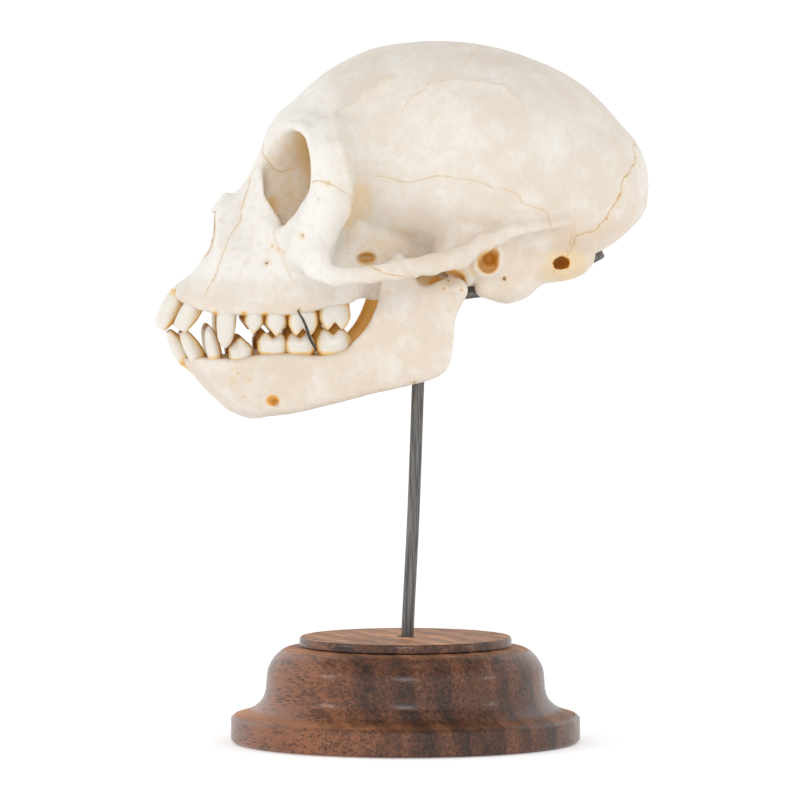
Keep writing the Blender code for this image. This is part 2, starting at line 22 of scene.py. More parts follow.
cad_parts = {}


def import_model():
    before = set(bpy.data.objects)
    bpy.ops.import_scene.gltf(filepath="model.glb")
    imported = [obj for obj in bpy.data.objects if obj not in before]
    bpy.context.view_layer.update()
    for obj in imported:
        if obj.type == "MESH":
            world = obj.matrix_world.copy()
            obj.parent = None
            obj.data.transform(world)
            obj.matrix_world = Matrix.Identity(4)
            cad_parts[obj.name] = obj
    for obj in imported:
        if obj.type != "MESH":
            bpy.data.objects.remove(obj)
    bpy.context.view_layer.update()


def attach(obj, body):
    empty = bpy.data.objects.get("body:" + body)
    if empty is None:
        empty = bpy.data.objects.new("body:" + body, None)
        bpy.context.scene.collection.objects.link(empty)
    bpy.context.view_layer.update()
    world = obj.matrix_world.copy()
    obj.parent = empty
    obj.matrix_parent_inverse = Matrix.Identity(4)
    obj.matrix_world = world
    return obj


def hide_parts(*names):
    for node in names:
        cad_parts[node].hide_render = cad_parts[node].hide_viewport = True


LOG = logging.getLogger("skull")
MM = 0.001
FAR_MM = 3.0

Point = tuple[float, float]
Place = tuple[float, float, float]
Knot = tuple[float, float, float, float]


# Numbers along curves and through space

def along(values: np.ndarray, knots: Sequence[Point]) -> np.ndarray:
    """Read a smooth curve at many places.

    Args:
        values: places to read at.
        knots: (place, value) pairs that the curve passes through, in rising order.

    Returns:
        The curve's values, an array like the places.
    """
    places, heights = np.array(knots, float).T
    slopes = np.gradient(heights, places)
    i = np.clip(np.searchsorted(places, values) - 1, 0, len(places) - 2)
    width = places[i + 1] - places[i]
    t = np.clip((values - places[i]) / width, 0, 1)
    start = (2 * t ** 3 - 3 * t ** 2 + 1) * heights[i] + (t ** 3 - 2 * t ** 2 + t) * width * slopes[i]
    end = (3 * t ** 2 - 2 * t ** 3) * heights[i + 1] + (t ** 3 - t ** 2) * width * slopes[i + 1]
    return start + end


def smooth_path(points: Sequence[Sequence[float]], pieces: int) -> np.ndarray:
    """Points of a Catmull-Rom curve through the given points.

    Args:
        points: places that the curve passes through.
        pieces: steps between two of them.

    Returns:
        The curve's points, one row each.
    """
    p = np.array([points[0], *points, points[-1]], float)
    a, b, c, d = (p[i:len(p) - 3 + i, None] for i in range(4))
    t = (np.arange(pieces) / pieces)[None, :, None]
    curve = 0.5 * (2 * b + (c - a) * t + (2 * a - 5 * b + 4 * c - d) * t ** 2
                   + (3 * b - a - 3 * c + d) * t ** 3)
    return np.vstack([curve.reshape(-1, p.shape[1]), p[-1:]])


def ease(low: float, high: float, values: np.ndarray) -> np.ndarray:
    """Smooth step from 0 at low to 1 at high."""
    t = np.clip((values - low) / (high - low), 0, 1)
    return t * t * (3 - 2 * t)


def space_noise(points: np.ndarray, size: float, seed: int) -> np.ndarray:
    """Smooth random value between -1 and 1 at each point.

    Args:
        points: places, one row each.
        size: distance over which the noise changes.
        seed: picks the pattern.

    Returns:
        One value for each point.
    """
    table = np.random.default_rng(seed).uniform(-1, 1, (32, 32, 32))
    scaled = points / size
    cell = np.floor(scaled).astype(int)
    t = scaled - cell
    t = t * t * (3 - 2 * t)
    total = np.zeros(len(points))
    for corner in product((0, 1), repeat=3):
        weight = np.prod(np.where(corner, t, 1 - t), axis=1)
        x, y, z = ((cell + corner) % 32).T
        total += weight * table[x, y, z]
    return total


def path_distance(points: np.ndarray, path: np.ndarray) -> np.ndarray:
    """Distance in the side view from each point to a chain of straight steps.

    Args:
        points: (Y, Z) places, one row each.
        path: the chain's (Y, Z) corners.

    Returns:
        The distance, positive on one side of the chain and negative on the other.
    """
    nearest = np.full(len(points), 1e9)
    side = np.ones(len(points))
    for start, end in zip(path, path[1:]):
        run, offset = end - start, points - start
        share = np.clip(offset @ run / max(run @ run, 1e-9), 0, 1)
        gap = np.linalg.norm(offset - share[:, None] * run, axis=1)
        turned = run[0] * offset[:, 1] - run[1] * offset[:, 0]
        side = np.where(gap < nearest, np.where(turned < 0, -1.0, 1.0), side)
        nearest = np.minimum(nearest, gap)
    return nearest * side


# Smooth solids as distance fields, negative inside

@dataclass
class HalfGrid:
    """Sample points of the left half of a bone, in millimetres."""

    low: Place
    high: Place
    step: float
    x: np.ndarray = field(init=False)
    y: np.ndarray = field(init=False)
    z: np.ndarray = field(init=False)

    def __post_init__(self) -> None:
        """Lay the axes out so that they broadcast into a block."""
        axes = []
        for low, high in zip(self.low, self.high):
            count = math.ceil((high - low) / self.step)
            axes.append((low + (np.arange(count) + 0.5) * self.step).astype(np.float32))
        self.x = axes[0].reshape(-1, 1, 1)
        self.y = axes[1].reshape(1, -1, 1)
        self.z = axes[2].reshape(1, 1, -1)

    def ellipsoid(self, centre: Place, radii: Place) -> np.ndarray:
        """Field of an ellipsoid.

        Args:
            centre: its middle.
            radii: its half sizes.

        Returns:
            The field on the grid.
        """
        offsets = [axis - c for axis, c in zip((self.x, self.y, self.z), centre)]
        near = np.sqrt(sum((o / r) ** 2 for o, r in zip(offsets, radii)))
        slope = np.sqrt(sum((o / r ** 2) ** 2 for o, r in zip(offsets, radii))) + 1e-6
        return near * (near - 1) / slope

    def limb(self, points: Sequence[Knot], squash: Place = (1.0, 1.0, 1.0),
             blend: float = 0.8) -> np.ndarray:
        """Field of a chain of tapered rods.

        Args:
            points: (x, y, z, radius) along the chain.
            squash: share of the radius kept along each axis.
            blend: how softly the rods meet.

        Returns:
            The field on the grid.
        """
        result = None
        for start, end in zip(points, points[1:]):
            a = [start[i] / squash[i] for i in range(3)]
            d = [end[i] / squash[i] - a[i] for i in range(3)]
            px, py, pz = (axis / squash[i] - a[i] for i, axis in enumerate((self.x, self.y, self.z)))
            t = np.clip((px * d[0] + py * d[1] + pz * d[2]) / sum(v * v for v in d), 0, 1)
            gap = np.sqrt((px - t * d[0]) ** 2 + (py - t * d[1]) ** 2 + (pz - t * d[2]) ** 2)
            rod = (gap - start[3] - t * (end[3] - start[3])) * min(squash)
            result = rod if result is None else union(result, rod, blend)
        return result

    def outline(self, corners: Sequence[Point]) -> np.ndarray:
        """Distance in the side view (Y, Z) to a closed smooth outline, negative inside.

        Args:
            corners: (Y, Z) points of the outline, in order.

        Returns:
            The field, one sheet thick across the midplane.
        """
        ring = [*corners[-2:], *corners, *corners[:2]]
        path = smooth_path(ring, 4)[8:-8][:4 * len(corners)]
        y, z = np.broadcast_arrays(self.y[0], self.z[0])
        nearest = np.full(y.shape, 1e9, np.float32)
        inside = np.zeros(y.shape, bool)
        for (y0, z0), (y1, z1) in zip(path, np.roll(path, -1, 0)):
            dy, dz = y1 - y0, z1 - z0
            t = np.clip(((y - y0) * dy + (z - z0) * dz) / (dy * dy + dz * dz + 1e-9), 0, 1)
            nearest = np.minimum(nearest, np.hypot(y - y0 - t * dy, z - z0 - t * dz))
            if z0 != z1:
                inside ^= ((z0 > z) != (z1 > z)) & (y < y0 + (z - z0) * dy / (z1 - z0))
        return np.where(inside, -nearest, nearest)[None].astype(np.float32)


def union(a: np.ndarray, b: np.ndarray, blend: float) -> np.ndarray:
    """Smooth union that fills the corner over about the blend distance."""
    h = np.clip(0.5 + 0.5 * (b - a) / blend, 0, 1)
    return b + (a - b) * h - blend * h * (1 - h)


def cut(a: np.ndarray, b: np.ndarray, blend: float) -> np.ndarray:
    """Field a with field b taken away, its edge eased."""
    return -union(-a, b, blend)


def outline_radius(angle: np.ndarray, centre: Point, outline: Sequence[Point]) -> np.ndarray:
    """Distance from the centre to a closed outline, read smoothly by angle.

    Args:
        angle: directions to read at.
        centre: the centre.
        outline: points of the outline, in any order.

    Returns:
        A distance for each direction.
    """
    offset = np.array(outline) - np.array(centre)
    angles = np.arctan2(offset[:, 1], offset[:, 0])
    order = np.argsort(angles)
    angles, radii = angles[order], np.hypot(*offset.T)[order]
    turns = np.concatenate([angles - 2 * math.pi, angles, angles + 2 * math.pi])
    return along(angle, list(zip(turns, np.tile(radii, 3))))


def box_blur(block: np.ndarray, reach: int) -> np.ndarray:
    """Average of a block over a cube of cells that reaches so many cells each way.

    Args:
        block: values on a grid.
        reach: cells to average over on each side.

    Returns:
        The averaged block.
    """
    for axis in range(3):
        pad = [(0, 0)] * 3
        pad[axis] = (reach + 1, reach)
        total = np.cumsum(np.pad(block, pad, mode="edge"), axis=axis, dtype=np.float32)
        size = block.shape[axis]
        upper = np.take(total, range(2 * reach + 1, 2 * reach + 1 + size), axis=axis)
        block = (upper - np.take(total, range(size), axis=axis)) / (2 * reach + 1)
    return block


# Materials

def linear(hex_colour: str) -> tuple[float, float, float, float]:
    """Linear RGBA of an sRGB colour written as six hex digits."""
    parts = [int(hex_colour.lstrip("#")[i:i + 2], 16) / 255 for i in (0, 2, 4)]
    return (*(c / 12.92 if c <= 0.04045 else ((c + 0.055) / 1.055) ** 2.4 for c in parts), 1.0)


def add_node(material: bpy.types.Material, kind: str, settings: dict | None = None,
             links: dict | None = None) -> bpy.types.Node:
    """Add one shader node.

    Args:
        material: where the node goes.
        kind: the node's Blender type.
        settings: node properties and, where no property has the name, socket values.
        links: input socket to an output socket, or to a node whose first output is meant.

    Returns:
        The new node.
    """
    node = material.node_tree.nodes.new(kind)
    for name, value in (settings or {}).items():
        if isinstance(name, str) and hasattr(node, name):
            setattr(node, name, value)
        else:
            node.inputs[name].default_value = value
    for name, source in (links or {}).items():
        output = source.outputs[0] if isinstance(source, bpy.types.Node) else source
        material.node_tree.links.new(output, node.inputs[name])
    return node


def new_material(name: str) -> tuple[bpy.types.Material, bpy.types.Node]:
    """Empty node material and its Principled shader.

    Args:
        name: the material's name.

    Returns:
        The material and its shader.
    """
    material = bpy.data.materials.new(name)
    material.use_nodes = True
    return material, material.node_tree.nodes["Principled BSDF"]


def set_shader(material: bpy.types.Material, shader: bpy.types.Node, settings: dict, links: dict) -> None:
    """Give a shader its plain values, and link nodes or outputs to its other sockets.

    Args:
        material: the shader's material.
        shader: the shader.
        settings: socket name to value.
        links: socket name to a node or an output.
    """
    for socket, value in settings.items():
        shader.inputs[socket].default_value = value
    for socket, source in links.items():
        output = source.outputs[0] if isinstance(source, bpy.types.Node) else source
        material.node_tree.links.new(output, shader.inputs[socket])


def mix_colour(material: bpy.types.Material, share: bpy.types.Node | bpy.types.NodeSocket,
               low: bpy.types.Node | bpy.types.NodeSocket | str,
               high: bpy.types.Node | bpy.types.NodeSocket | str) -> bpy.types.NodeSocket:
    """Blend two colours, each a hex colour or a node, by a share from 0 to 1.

    Args:
        material: where the node goes.
        share: share of the high colour.
        low: colour at share 0.
        high: colour at share 1.

    Returns:
        The blended colour.
    """
    node = add_node(material, "ShaderNodeMix", {"data_type": "RGBA"}, {0: share})
    for slot, colour in ((6, low), (7, high)):
        if isinstance(colour, str):
            node.inputs[slot].default_value = linear(colour)
        else:
            output = colour.outputs[0] if isinstance(colour, bpy.types.Node) else colour
            material.node_tree.links.new(output, node.inputs[slot])
    return node.outputs[2]


def ramp(material: bpy.types.Material, source: bpy.types.Node | bpy.types.NodeSocket, low: float,
         high: float, to: Point = (0.0, 1.0)) -> bpy.types.Node:
    """Map a value from low..high to a smooth range.

    Args:
        material: where the node goes.
        source: the value.
        low: value where the range starts.
        high: value where it ends.
        to: results at the start and the end.

    Returns:
        The new node.
    """
    settings = {"interpolation_type": "SMOOTHSTEP", "From Min": low, "From Max": high,
                "To Min": to[0], "To Max": to[1]}
    return add_node(material, "ShaderNodeMapRange", settings, {"Value": source})


def combine(material: bpy.types.Material, operation: str,
            *values: bpy.types.Node | bpy.types.NodeSocket | float) -> bpy.types.Node:
    """Math node of up to three values, each a number, a node or an output.

    Args:
        material: where the node goes.
        operation: Blender's name of the operation.
        values: its inputs, in order.

    Returns:
        The new node.
    """
    node = add_node(material, "ShaderNodeMath", {"operation": operation})
    for slot, value in enumerate(values):
        if isinstance(value, (int, float)):
            node.inputs[slot].default_value = value
        else:
            output = value.outputs[0] if isinstance(value, bpy.types.Node) else value
            material.node_tree.links.new(output, node.inputs[slot])
    return node


def millimetres(material: bpy.types.Material, stretch: Place = (1.0, 1.0, 1.0),
                turn: float = 0.0) -> bpy.types.Node:
    """Object coordinates in millimetres, turned about Z and stretched.

    Args:
        material: where the node goes.
        stretch: how far a pattern is drawn out along each axis.
        turn: turn about Z in radians.

    Returns:
        The node that gives the place.
    """
    place = add_node(material, "ShaderNodeTexCoord").outputs["Object"]
    turned = add_node(material, "ShaderNodeMapping", {"Rotation": (0, 0, turn)}, {"Vector": place})
    scale = tuple(1 / MM / s for s in stretch)
    return add_node(material, "ShaderNodeMapping", {"Scale": scale}, {"Vector": turned})


def noise(material: bpy.types.Material, where: bpy.types.Node, size: float, detail: float = 3.0,
          roughness: float = 0.5) -> bpy.types.NodeSocket:
    """Value of a noise whose lumps are about so many millimetres."""
    settings = {"Scale": 1 / size, "Detail": detail, "Roughness": roughness}
    return add_node(material, "ShaderNodeTexNoise", settings, {"Vector": where}).outputs["Fac"]


def bumps(material: bpy.types.Material, height: bpy.types.Node | bpy.types.NodeSocket, strength: float,
          depth_mm: float, sunk: bool = False) -> bpy.types.Node:
    """Fine relief: the height's full range stands for so many millimetres, sunk or raised."""
    settings = {"Strength": strength, "Distance": depth_mm * MM, "invert": sunk}
    return add_node(material, "ShaderNodeBump", settings, {"Height": height})


@dataclass(frozen=True)
class BleachedBone:
    """Dry bone, cleaned and whitened: creamy, faintly mottled, and satin.

    The deep parts are painted honey and amber, which is painted warm shade and bounce light; the brow and
    face are painted chalkier, which is painted light, and the undersides pinker, which is painted shade.
    Sutures show as ochre threads, the insides of small pits are painted dark brown, which is painted shade,
    and the surface has a fine grain of pores.
    """

    cream: str = "#E5E0D7"
    ivory: str = "#DED5C8"
    chalk: str = "#F0EEEA"
    blush: str = "#DAC6B0"
    honey: str = "#E6C998"
    amber: str = "#DFA245"
    deep_amber: str = "#C8882C"
    suture_ochre: str = "#C0954E"
    pit_shade_brown: str = "#7A5527"
    cloud_mm: float = 24.0
    mottle_mm: float = 5.5
    speck_mm: float = 1.5
    fray_mm: float = 0.7
    pore_mm: float = 0.55
    thread_mm: float = 0.11
    pit_rim_mm: float = 0.12
    roughness: float = 0.5
    ior: float = 1.54

    def skin_tone(self, material: bpy.types.Material, where: bpy.types.Node, tone_and_shade: bpy.types.NodeSocket,
                  speck: bpy.types.NodeSocket) -> bpy.types.NodeSocket:
        """Clouded cream and ivory, painted chalkier where light falls on the brow and face, and pinker in
        the painted shade under the skull.

        Args:
            material: where the nodes go.
            where: place in millimetres.
            tone_and_shade: how pink the tone is, 0 to 1: low where light is painted, high where shade is
                painted.
            speck: the fine noise.

        Returns:
            The colour of clean bone, with painted light and shade.
        """
        cloud = ramp(material, noise(material, where, self.cloud_mm, 2.0), 0.36, 0.66)
        mottle = ramp(material, noise(material, where, self.mottle_mm, 6.0, 0.68), 0.32, 0.74)
        base = mix_colour(material, cloud, self.cream, self.ivory)
        base = mix_colour(material, ramp(material, mottle, 0.2, 1.0, (0.0, 0.3)), base, self.chalk)
        # Chalkier where the tone value is low, on the brow and face: painted light. Pinker where it is
        # high, under the skull: painted shade.
        base = mix_colour(material, ramp(material, tone_and_shade, 0.0, 0.3, (0.6, 0.0)), base, self.chalk)
        flush = combine(material, "MULTIPLY", tone_and_shade, ramp(material, mottle, 0.0, 1.0, (1.0, 0.5)))
        base = mix_colour(material, ramp(material, flush, 0.1, 1.0, (0.0, 0.85)), base, self.blush)
        return mix_colour(material, ramp(material, speck, 0.46, 0.76, (0.0, 0.5)), base, self.blush)

    def hollow_shade(self, material: bpy.types.Material, base: bpy.types.NodeSocket,
                  cavity: bpy.types.NodeSocket, speck: bpy.types.NodeSocket) -> bpy.types.NodeSocket:
        """Painted warm shade and bounce light: honey, then amber, the deeper the hollow is, with a broken
        edge.

        Args:
            material: where the nodes go.
            base: the colour of clean bone.
            cavity: how deep in a hollow the place is.
            speck: the fine noise.

        Returns:
            The colour with the painted shade.
        """
        # Painted warm shade and bounce light: honey, amber and deep amber grow with how deep in a hollow
        # the place is.
        uneven = combine(material, "MULTIPLY_ADD", speck, 0.36, cavity)
        base = mix_colour(material, ramp(material, uneven, 0.3, 0.68), base, self.honey)
        base = mix_colour(material, ramp(material, uneven, 0.66, 0.98), base, self.amber)
        return mix_colour(material, ramp(material, uneven, 1.05, 1.45), base, self.deep_amber)

    def seam_line(self, material: bpy.types.Material, where: bpy.types.Node, seam: bpy.types.NodeSocket,
                  ink: bpy.types.NodeSocket) -> tuple[bpy.types.Node, bpy.types.Node]:
        """How strongly a suture's halo and its thread show.

        Args:
            material: where the nodes go.
            where: place in millimetres.
            seam: distance to the nearest suture in millimetres, negative on one side.
            ink: how dark that suture is, 0 to 1.

        Returns:
            The halo's share and the thread's share.
        """
        gap = combine(material, "ABSOLUTE", seam)
        frayed = combine(material, "MULTIPLY_ADD", noise(material, where, self.fray_mm, 3.0), 0.4, gap)
        near, far = 0.2 + 0.3 * self.thread_mm, 0.2 + 1.6 * self.thread_mm
        thread = ramp(material, frayed, near, far, (1.0, 0.0))
        halo = ramp(material, frayed, 0.2, 1.2, (0.35, 0.0))
        return combine(material, "MULTIPLY", halo, ink), combine(material, "MULTIPLY", thread, ink)

    def build(self, name: str) -> bpy.types.Material:
        """Make the material.

        Args:
            name: the material's name.

        Returns:
            A material that reads the mesh attributes cavity, seam, ink, pit and the tone that paints light
            and shade.
        """
        material, shader = new_material(name)
        where = millimetres(material)
        cavity, seam, ink, pit, tone_and_shade = (
            add_node(material, "ShaderNodeAttribute", {"attribute_name": word}).outputs["Fac"]
            for word in ("cavity", "seam", "ink", "pit", "tone_and_shade"))
        speck = noise(material, where, self.speck_mm, 5.0, 0.7)
        base = self.skin_tone(material, where, tone_and_shade, speck)
        base = self.hollow_shade(material, base, cavity, speck)
        halo, thread = self.seam_line(material, where, seam, ink)
        base = mix_colour(material, halo, base, self.honey)
        base = mix_colour(material, thread, base, self.suture_ochre)
        # A honey rim round each pit; inside it, painted shade in dark brown.
        base = mix_colour(material, ramp(material, pit, 0.0, 0.7, (0.5, 0.0)), base, self.honey)
        hole = ramp(material, pit, -0.3, self.pit_rim_mm, (1.0, 0.0))
        base = mix_colour(material, hole, base, self.pit_shade_brown)
        pores = add_node(material, "ShaderNodeTexVoronoi", {"Scale": 1 / self.pore_mm}, {"Vector": where})
        pore_depth = ramp(material, pores.outputs["Distance"], 0.0, 0.34)
        relief = combine(material, "MULTIPLY_ADD", pore_depth, 0.5, speck)
        relief = combine(material, "MULTIPLY_ADD", thread, -1.6, relief)
        settings = {"Roughness": self.roughness, "IOR": self.ior, "Subsurface Weight": 0.12,
                    "Subsurface Radius": (1.0, 0.55, 0.3), "Subsurface Scale": 1.2 * MM}
        set_shader(material, shader, settings,
                   {"Base Color": base, "Normal": bumps(material, relief, 0.25, 0.14)})
        return material


@dataclass(frozen=True)
class ToothEnamel:
    """Enamel over dentine: glossy ivory white, tan and amber where it thins at the neck, and painted amber
    shade where the teeth touch and on their inner faces.
    """

    enamel: str = "#E3DDD2"
    dentine: str = "#E8C688"
    stain_and_shade: str = "#D89E42"
    dark_stain_and_shade: str = "#AD7527"
    cloud_mm: float = 1.2
    wear_mm: float = 0.7
    roughness: float = 0.28
    ior: float = 1.62

    def build(self, name: str) -> bpy.types.Material:
        """Make the material.

        Args:
            name: the material's name.

        Returns:
            A material that reads the mesh attribute of staining and painted shade.
        """
        material, shader = new_material(name)
        where = millimetres(material)
        stain_and_shade = add_node(material, "ShaderNodeAttribute", {"attribute_name": "stain_and_shade"}).outputs["Fac"]
        uneven = combine(material, "MULTIPLY_ADD", noise(material, where, self.cloud_mm, 4.0), 0.4, stain_and_shade)
        # Dentine tan, amber and dark amber: real staining at the neck and on the worn biting face, painted
        # shade where the teeth touch and on their inner faces.
        base = mix_colour(material, ramp(material, uneven, 0.25, 0.7), self.enamel, self.dentine)
        base = mix_colour(material, ramp(material, uneven, 0.75, 1.1), base, self.stain_and_shade)
        base = mix_colour(material, ramp(material, uneven, 1.1, 1.4), base, self.dark_stain_and_shade)
        settings = {"Roughness": self.roughness, "IOR": self.ior, "Subsurface Weight": 0.2,
                    "Subsurface Radius": (1.0, 0.7, 0.45), "Subsurface Scale": 0.8 * MM}
        wear = bumps(material, noise(material, where, self.wear_mm, 3.0), 0.15, 0.1)
        set_shader(material, shader, settings, {"Base Color": base, "Normal": wear})
        return material


@dataclass(frozen=True)
class OiledWalnut:
    """Black walnut, turned on a lathe and oiled.

    The grain runs through the solid, so long dark pores show on the sides, dots on
    the end grain, and the year rings show as soft darker bands.
    """

    light: str = "#8B5739"
    heart: str = "#5E3925"
    dark: str = "#2E1B12"
    pore: str = "#1C0F0A"
    shimmer: str = "#F0B58C"
    grain_turn: float = math.radians(-25)
    ring_mm: float = 7.0
    wander_mm: float = 7.0
    pore_mm: float = 0.25
    pore_length: float = 8.0
    lit_side_mm: Point = (-32.0, -16.0)
    polish: float = 0.65
    glow: float = 1.0
    roughness: float = 0.52
    ior: float = 1.45

    def tone(self, material: bpy.types.Material, fibre: bpy.types.Node,
             block: bpy.types.Node) -> bpy.types.Node:
        """How dark the wood is: streaks, figure, year rings, and one side painted paler, which is painted
        light from the key lamp's side.

        Args:
            material: where the nodes go.
            fibre: place in millimetres, stretched along the fibres.
            block: the same, stretched less.

        Returns:
            A value from about 0.5 in pale wood to 1.3 in dark wood.
        """
        across = add_node(material, "ShaderNodeSeparateXYZ", {}, {0: block}).outputs["Y"]
        wander = noise(material, block, 11.0, 3.0)
        ring_place = combine(material, "MULTIPLY_ADD", wander, self.wander_mm, across)
        saw = combine(material, "FRACT", combine(material, "MULTIPLY", ring_place, 1 / self.ring_mm))
        late, early = ramp(material, saw, 0.1, 0.86), ramp(material, saw, 0.86, 1.0, (1.0, 0.0))
        band = combine(material, "MULTIPLY", late, early)
        streak = noise(material, fibre, 0.7, 5.0, 0.65)
        figure = noise(material, block, 5.0, 3.0)
        # Paler towards the key lamp's side and darker away from it: painted light and shade.
        lit_side = ramp(material, across, *self.lit_side_mm, (-0.16, 0.14))
        depth = combine(material, "MULTIPLY_ADD", figure, 0.6, combine(material, "ADD", streak, lit_side))
        return combine(material, "MULTIPLY_ADD", band, 0.15, depth)

    def pores(self, material: bpy.types.Material, fibre: bpy.types.Node,
              block: bpy.types.Node) -> bpy.types.Node:
        """Open pores, long along the fibres: 1 inside one and 0 between them.

        Args:
            material: where the nodes go.
            fibre: place stretched along the fibres.
            block: place stretched less.

        Returns:
            The node that gives the pores.
        """
        cells = add_node(material, "ShaderNodeTexVoronoi", {"Scale": 0.5 / self.pore_mm}, {"Vector": fibre})
        crowd = noise(material, block, 2.0, 3.0)
        hollow = combine(material, "MULTIPLY_ADD", crowd, -0.45, cells.outputs["Distance"])
        return ramp(material, hollow, -0.03, 0.14, (1.0, 0.0))

    def build(self, name: str) -> bpy.types.Material:
        """Make the material.

        Args:
            name: the material's name.

        Returns:
            A solid wood material with its grain along X, turned about Z.
        """
        material, shader = new_material(name)
        fibre = millimetres(material, (self.pore_length, 1.0, 1.0), self.grain_turn)
        block = millimetres(material, (5.0, 1.0, 3.0), self.grain_turn)
        tone = self.tone(material, fibre, block)
        base = mix_colour(material, ramp(material, tone, 0.66, 0.98), self.light, self.heart)
        base = mix_colour(material, ramp(material, tone, 0.92, 1.25), base, self.dark)
        pores = self.pores(material, fibre, block)
        base = mix_colour(material, ramp(material, pores, 0.0, 1.0, (0.0, 0.8)), base, self.pore)
        # The turned sides took more oil. On the flat top the cut fibres shine pale along the grain.
        facing = add_node(material, "ShaderNodeTexCoord").outputs["Normal"]
        upward = add_node(material, "ShaderNodeSeparateXYZ", {}, {0: facing}).outputs["Z"]
        coat = ramp(material, upward, 0.8, 0.98, (self.polish, 0.0))
        lit = ramp(material, upward, 0.8, 0.98, (0.0, self.glow))
        sheen = combine(material, "MULTIPLY", lit, ramp(material, tone, 0.7, 1.15, (1.0, 0.35)))
        settings = {"Roughness": self.roughness, "IOR": self.ior, "Specular IOR Level": 0.15,
                    "Coat Roughness": 0.22, "Sheen Roughness": 0.4, "Sheen Tint": linear(self.shimmer)}
        set_shader(material, shader, settings,
                   {"Base Color": base, "Coat Weight": coat, "Sheen Weight": sheen,
                    "Normal": bumps(material, pores, 0.4, 0.12, sunk=True)})
        return material


@dataclass(frozen=True)
class DrawnSteel:
    """Mild steel drawn through a die: dull grey with fine lines along its length."""

    bright: str = "#7B7977"
    dull: str = "#524F4D"
    line_mm: float = 0.3
    roughness: float = 0.36

    def build(self, name: str) -> bpy.types.Material:
        """Make the material.

        Args:
            name: the material's name.

        Returns:
            A metal whose marks run up and down.
        """
        material, shader = new_material(name)
        where = millimetres(material, (1.0, 1.0, 30.0))
        lines = noise(material, where, self.line_mm, 3.0)
        base = mix_colour(material, ramp(material, lines, 0.35, 0.7), self.bright, self.dull)
        set_shader(material, shader, {"Metallic": 1.0, "Roughness": self.roughness},
                   {"Base Color": base, "Normal": bumps(material, lines, 0.2, 0.05)})
        return material


@dataclass(frozen=True)
class MattPaper:
    """White paper sweep, lit from behind so that it clears to pure white: no gloss."""

    white: str = "#F2F2F2"
    glow: float = 0.38
    roughness: float = 0.95

    def build(self, name: str) -> bpy.types.Material:
        """Make the plain white material.

        Args:
            name: the material's name.

        Returns:
            The material.
        """
        material, shader = new_material(name)
        white = linear(self.white)
        settings = {"Base Color": white, "Roughness": self.roughness, "Specular IOR Level": 0.0,
                    "Emission Color": white, "Emission Strength": self.glow}
        set_shader(material, shader, settings, {})
        return material


# Meshes

def add_mesh(name: str, vertices: np.ndarray | Sequence, faces: Iterable[Sequence[int]],
             material: bpy.types.Material) -> bpy.types.Object:
    """Smooth-shaded mesh object from points in millimetres.

    Args:
        name: the piece's name.
        vertices: points in millimetres.
        faces: corner numbers of each face.
        material: its finish.

    Returns:
        The linked object.
    """
    mesh = bpy.data.meshes.new(name)
    mesh.from_pydata(np.asarray(vertices, float) * MM, [], list(faces))
    mesh.validate()
    mesh.materials.append(material)
    mesh.shade_smooth()
    item = bpy.data.objects.new(name, mesh)
    bpy.context.collection.objects.link(item)
    return item


def mesh_points(mesh: bpy.types.Mesh) -> np.ndarray:
    """Vertices in millimetres, one row each.

    Args:
        mesh: the mesh.

    Returns:
        The points.
    """
    flat = np.empty(len(mesh.vertices) * 3, np.float32)
    mesh.vertices.foreach_get("co", flat)
    return flat.reshape(-1, 3).astype(float) / MM


def mesh_normals(mesh: bpy.types.Mesh) -> np.ndarray:
    """Vertex normals, one row each.

    Args:
        mesh: the mesh.

    Returns:
        The normals.
    """
    flat = np.empty(len(mesh.vertices) * 3, np.float32)
    mesh.vertices.foreach_get("normal", flat)
    return flat.reshape(-1, 3).astype(float)


def set_points(mesh: bpy.types.Mesh, points: np.ndarray) -> None:
    """Move the mesh's vertices to points in millimetres."""
    mesh.vertices.foreach_set("co", (points * MM).astype(np.float32).ravel())
    mesh.update()


def add_attribute(mesh: bpy.types.Mesh, name: str, values: np.ndarray) -> None:
    """Store one number for each vertex."""
    layer = mesh.attributes.new(name, "FLOAT", "POINT")
    layer.data.foreach_set("value", values.astype(np.float32))


def tube_faces(rings: int, sides: int) -> list[tuple[int, ...]]:
    """Faces of stacked rings of points, closed by a first and a last point that follow the rings.

    Args:
        rings: number of rings.
        sides: points in each ring.

    Returns:
        Corner numbers of each face.
    """
    faces = []
    for ring in range(rings - 1):
        for k in range(sides):
            a, b = ring * sides + k, ring * sides + (k + 1) % sides
            faces.append((a, b, b + sides, a + sides))
    last, end = (rings - 1) * sides, rings * sides + 1
    for k in range(sides):
        faces.append((end - 1, (k + 1) % sides, k))
        faces.append((end, last + k, last + (k + 1) % sides))
    return faces


def tube(name: str, path: np.ndarray, radius: float, sides: int, material: bpy.types.Material,
         squash: float = 1.0) -> bpy.types.Object:
    """Round bar along a path, with eased ends.

    Args:
        name: the piece's name.
        path: points of its axis, in millimetres.
        radius: its radius, in millimetres.
        sides: faces round it.
        material: its finish.
        squash: share of the radius kept at the two end rings.

    Returns:
        The bar.
    """
    steps = np.gradient(path, axis=0)
    steps /= np.linalg.norm(steps, axis=1, keepdims=True)
    side = np.cross(steps[0], (0.3, 0.2, 0.9))
    rings = []
    for number, (centre, forward) in enumerate(zip(path, steps)):
        side = side - forward * (side @ forward)
        side /= np.linalg.norm(side)
        other = np.cross(forward, side)
        size = radius * (squash if number in (0, len(path) - 1) else 1.0)
        turn = np.arange(sides) * 2 * math.pi / sides
        rings.append(centre + size * (np.cos(turn)[:, None] * side + np.sin(turn)[:, None] * other))
    vertices = np.vstack([*rings, path[0], path[-1]])
    return add_mesh(name, vertices, tube_faces(len(path), sides), material)


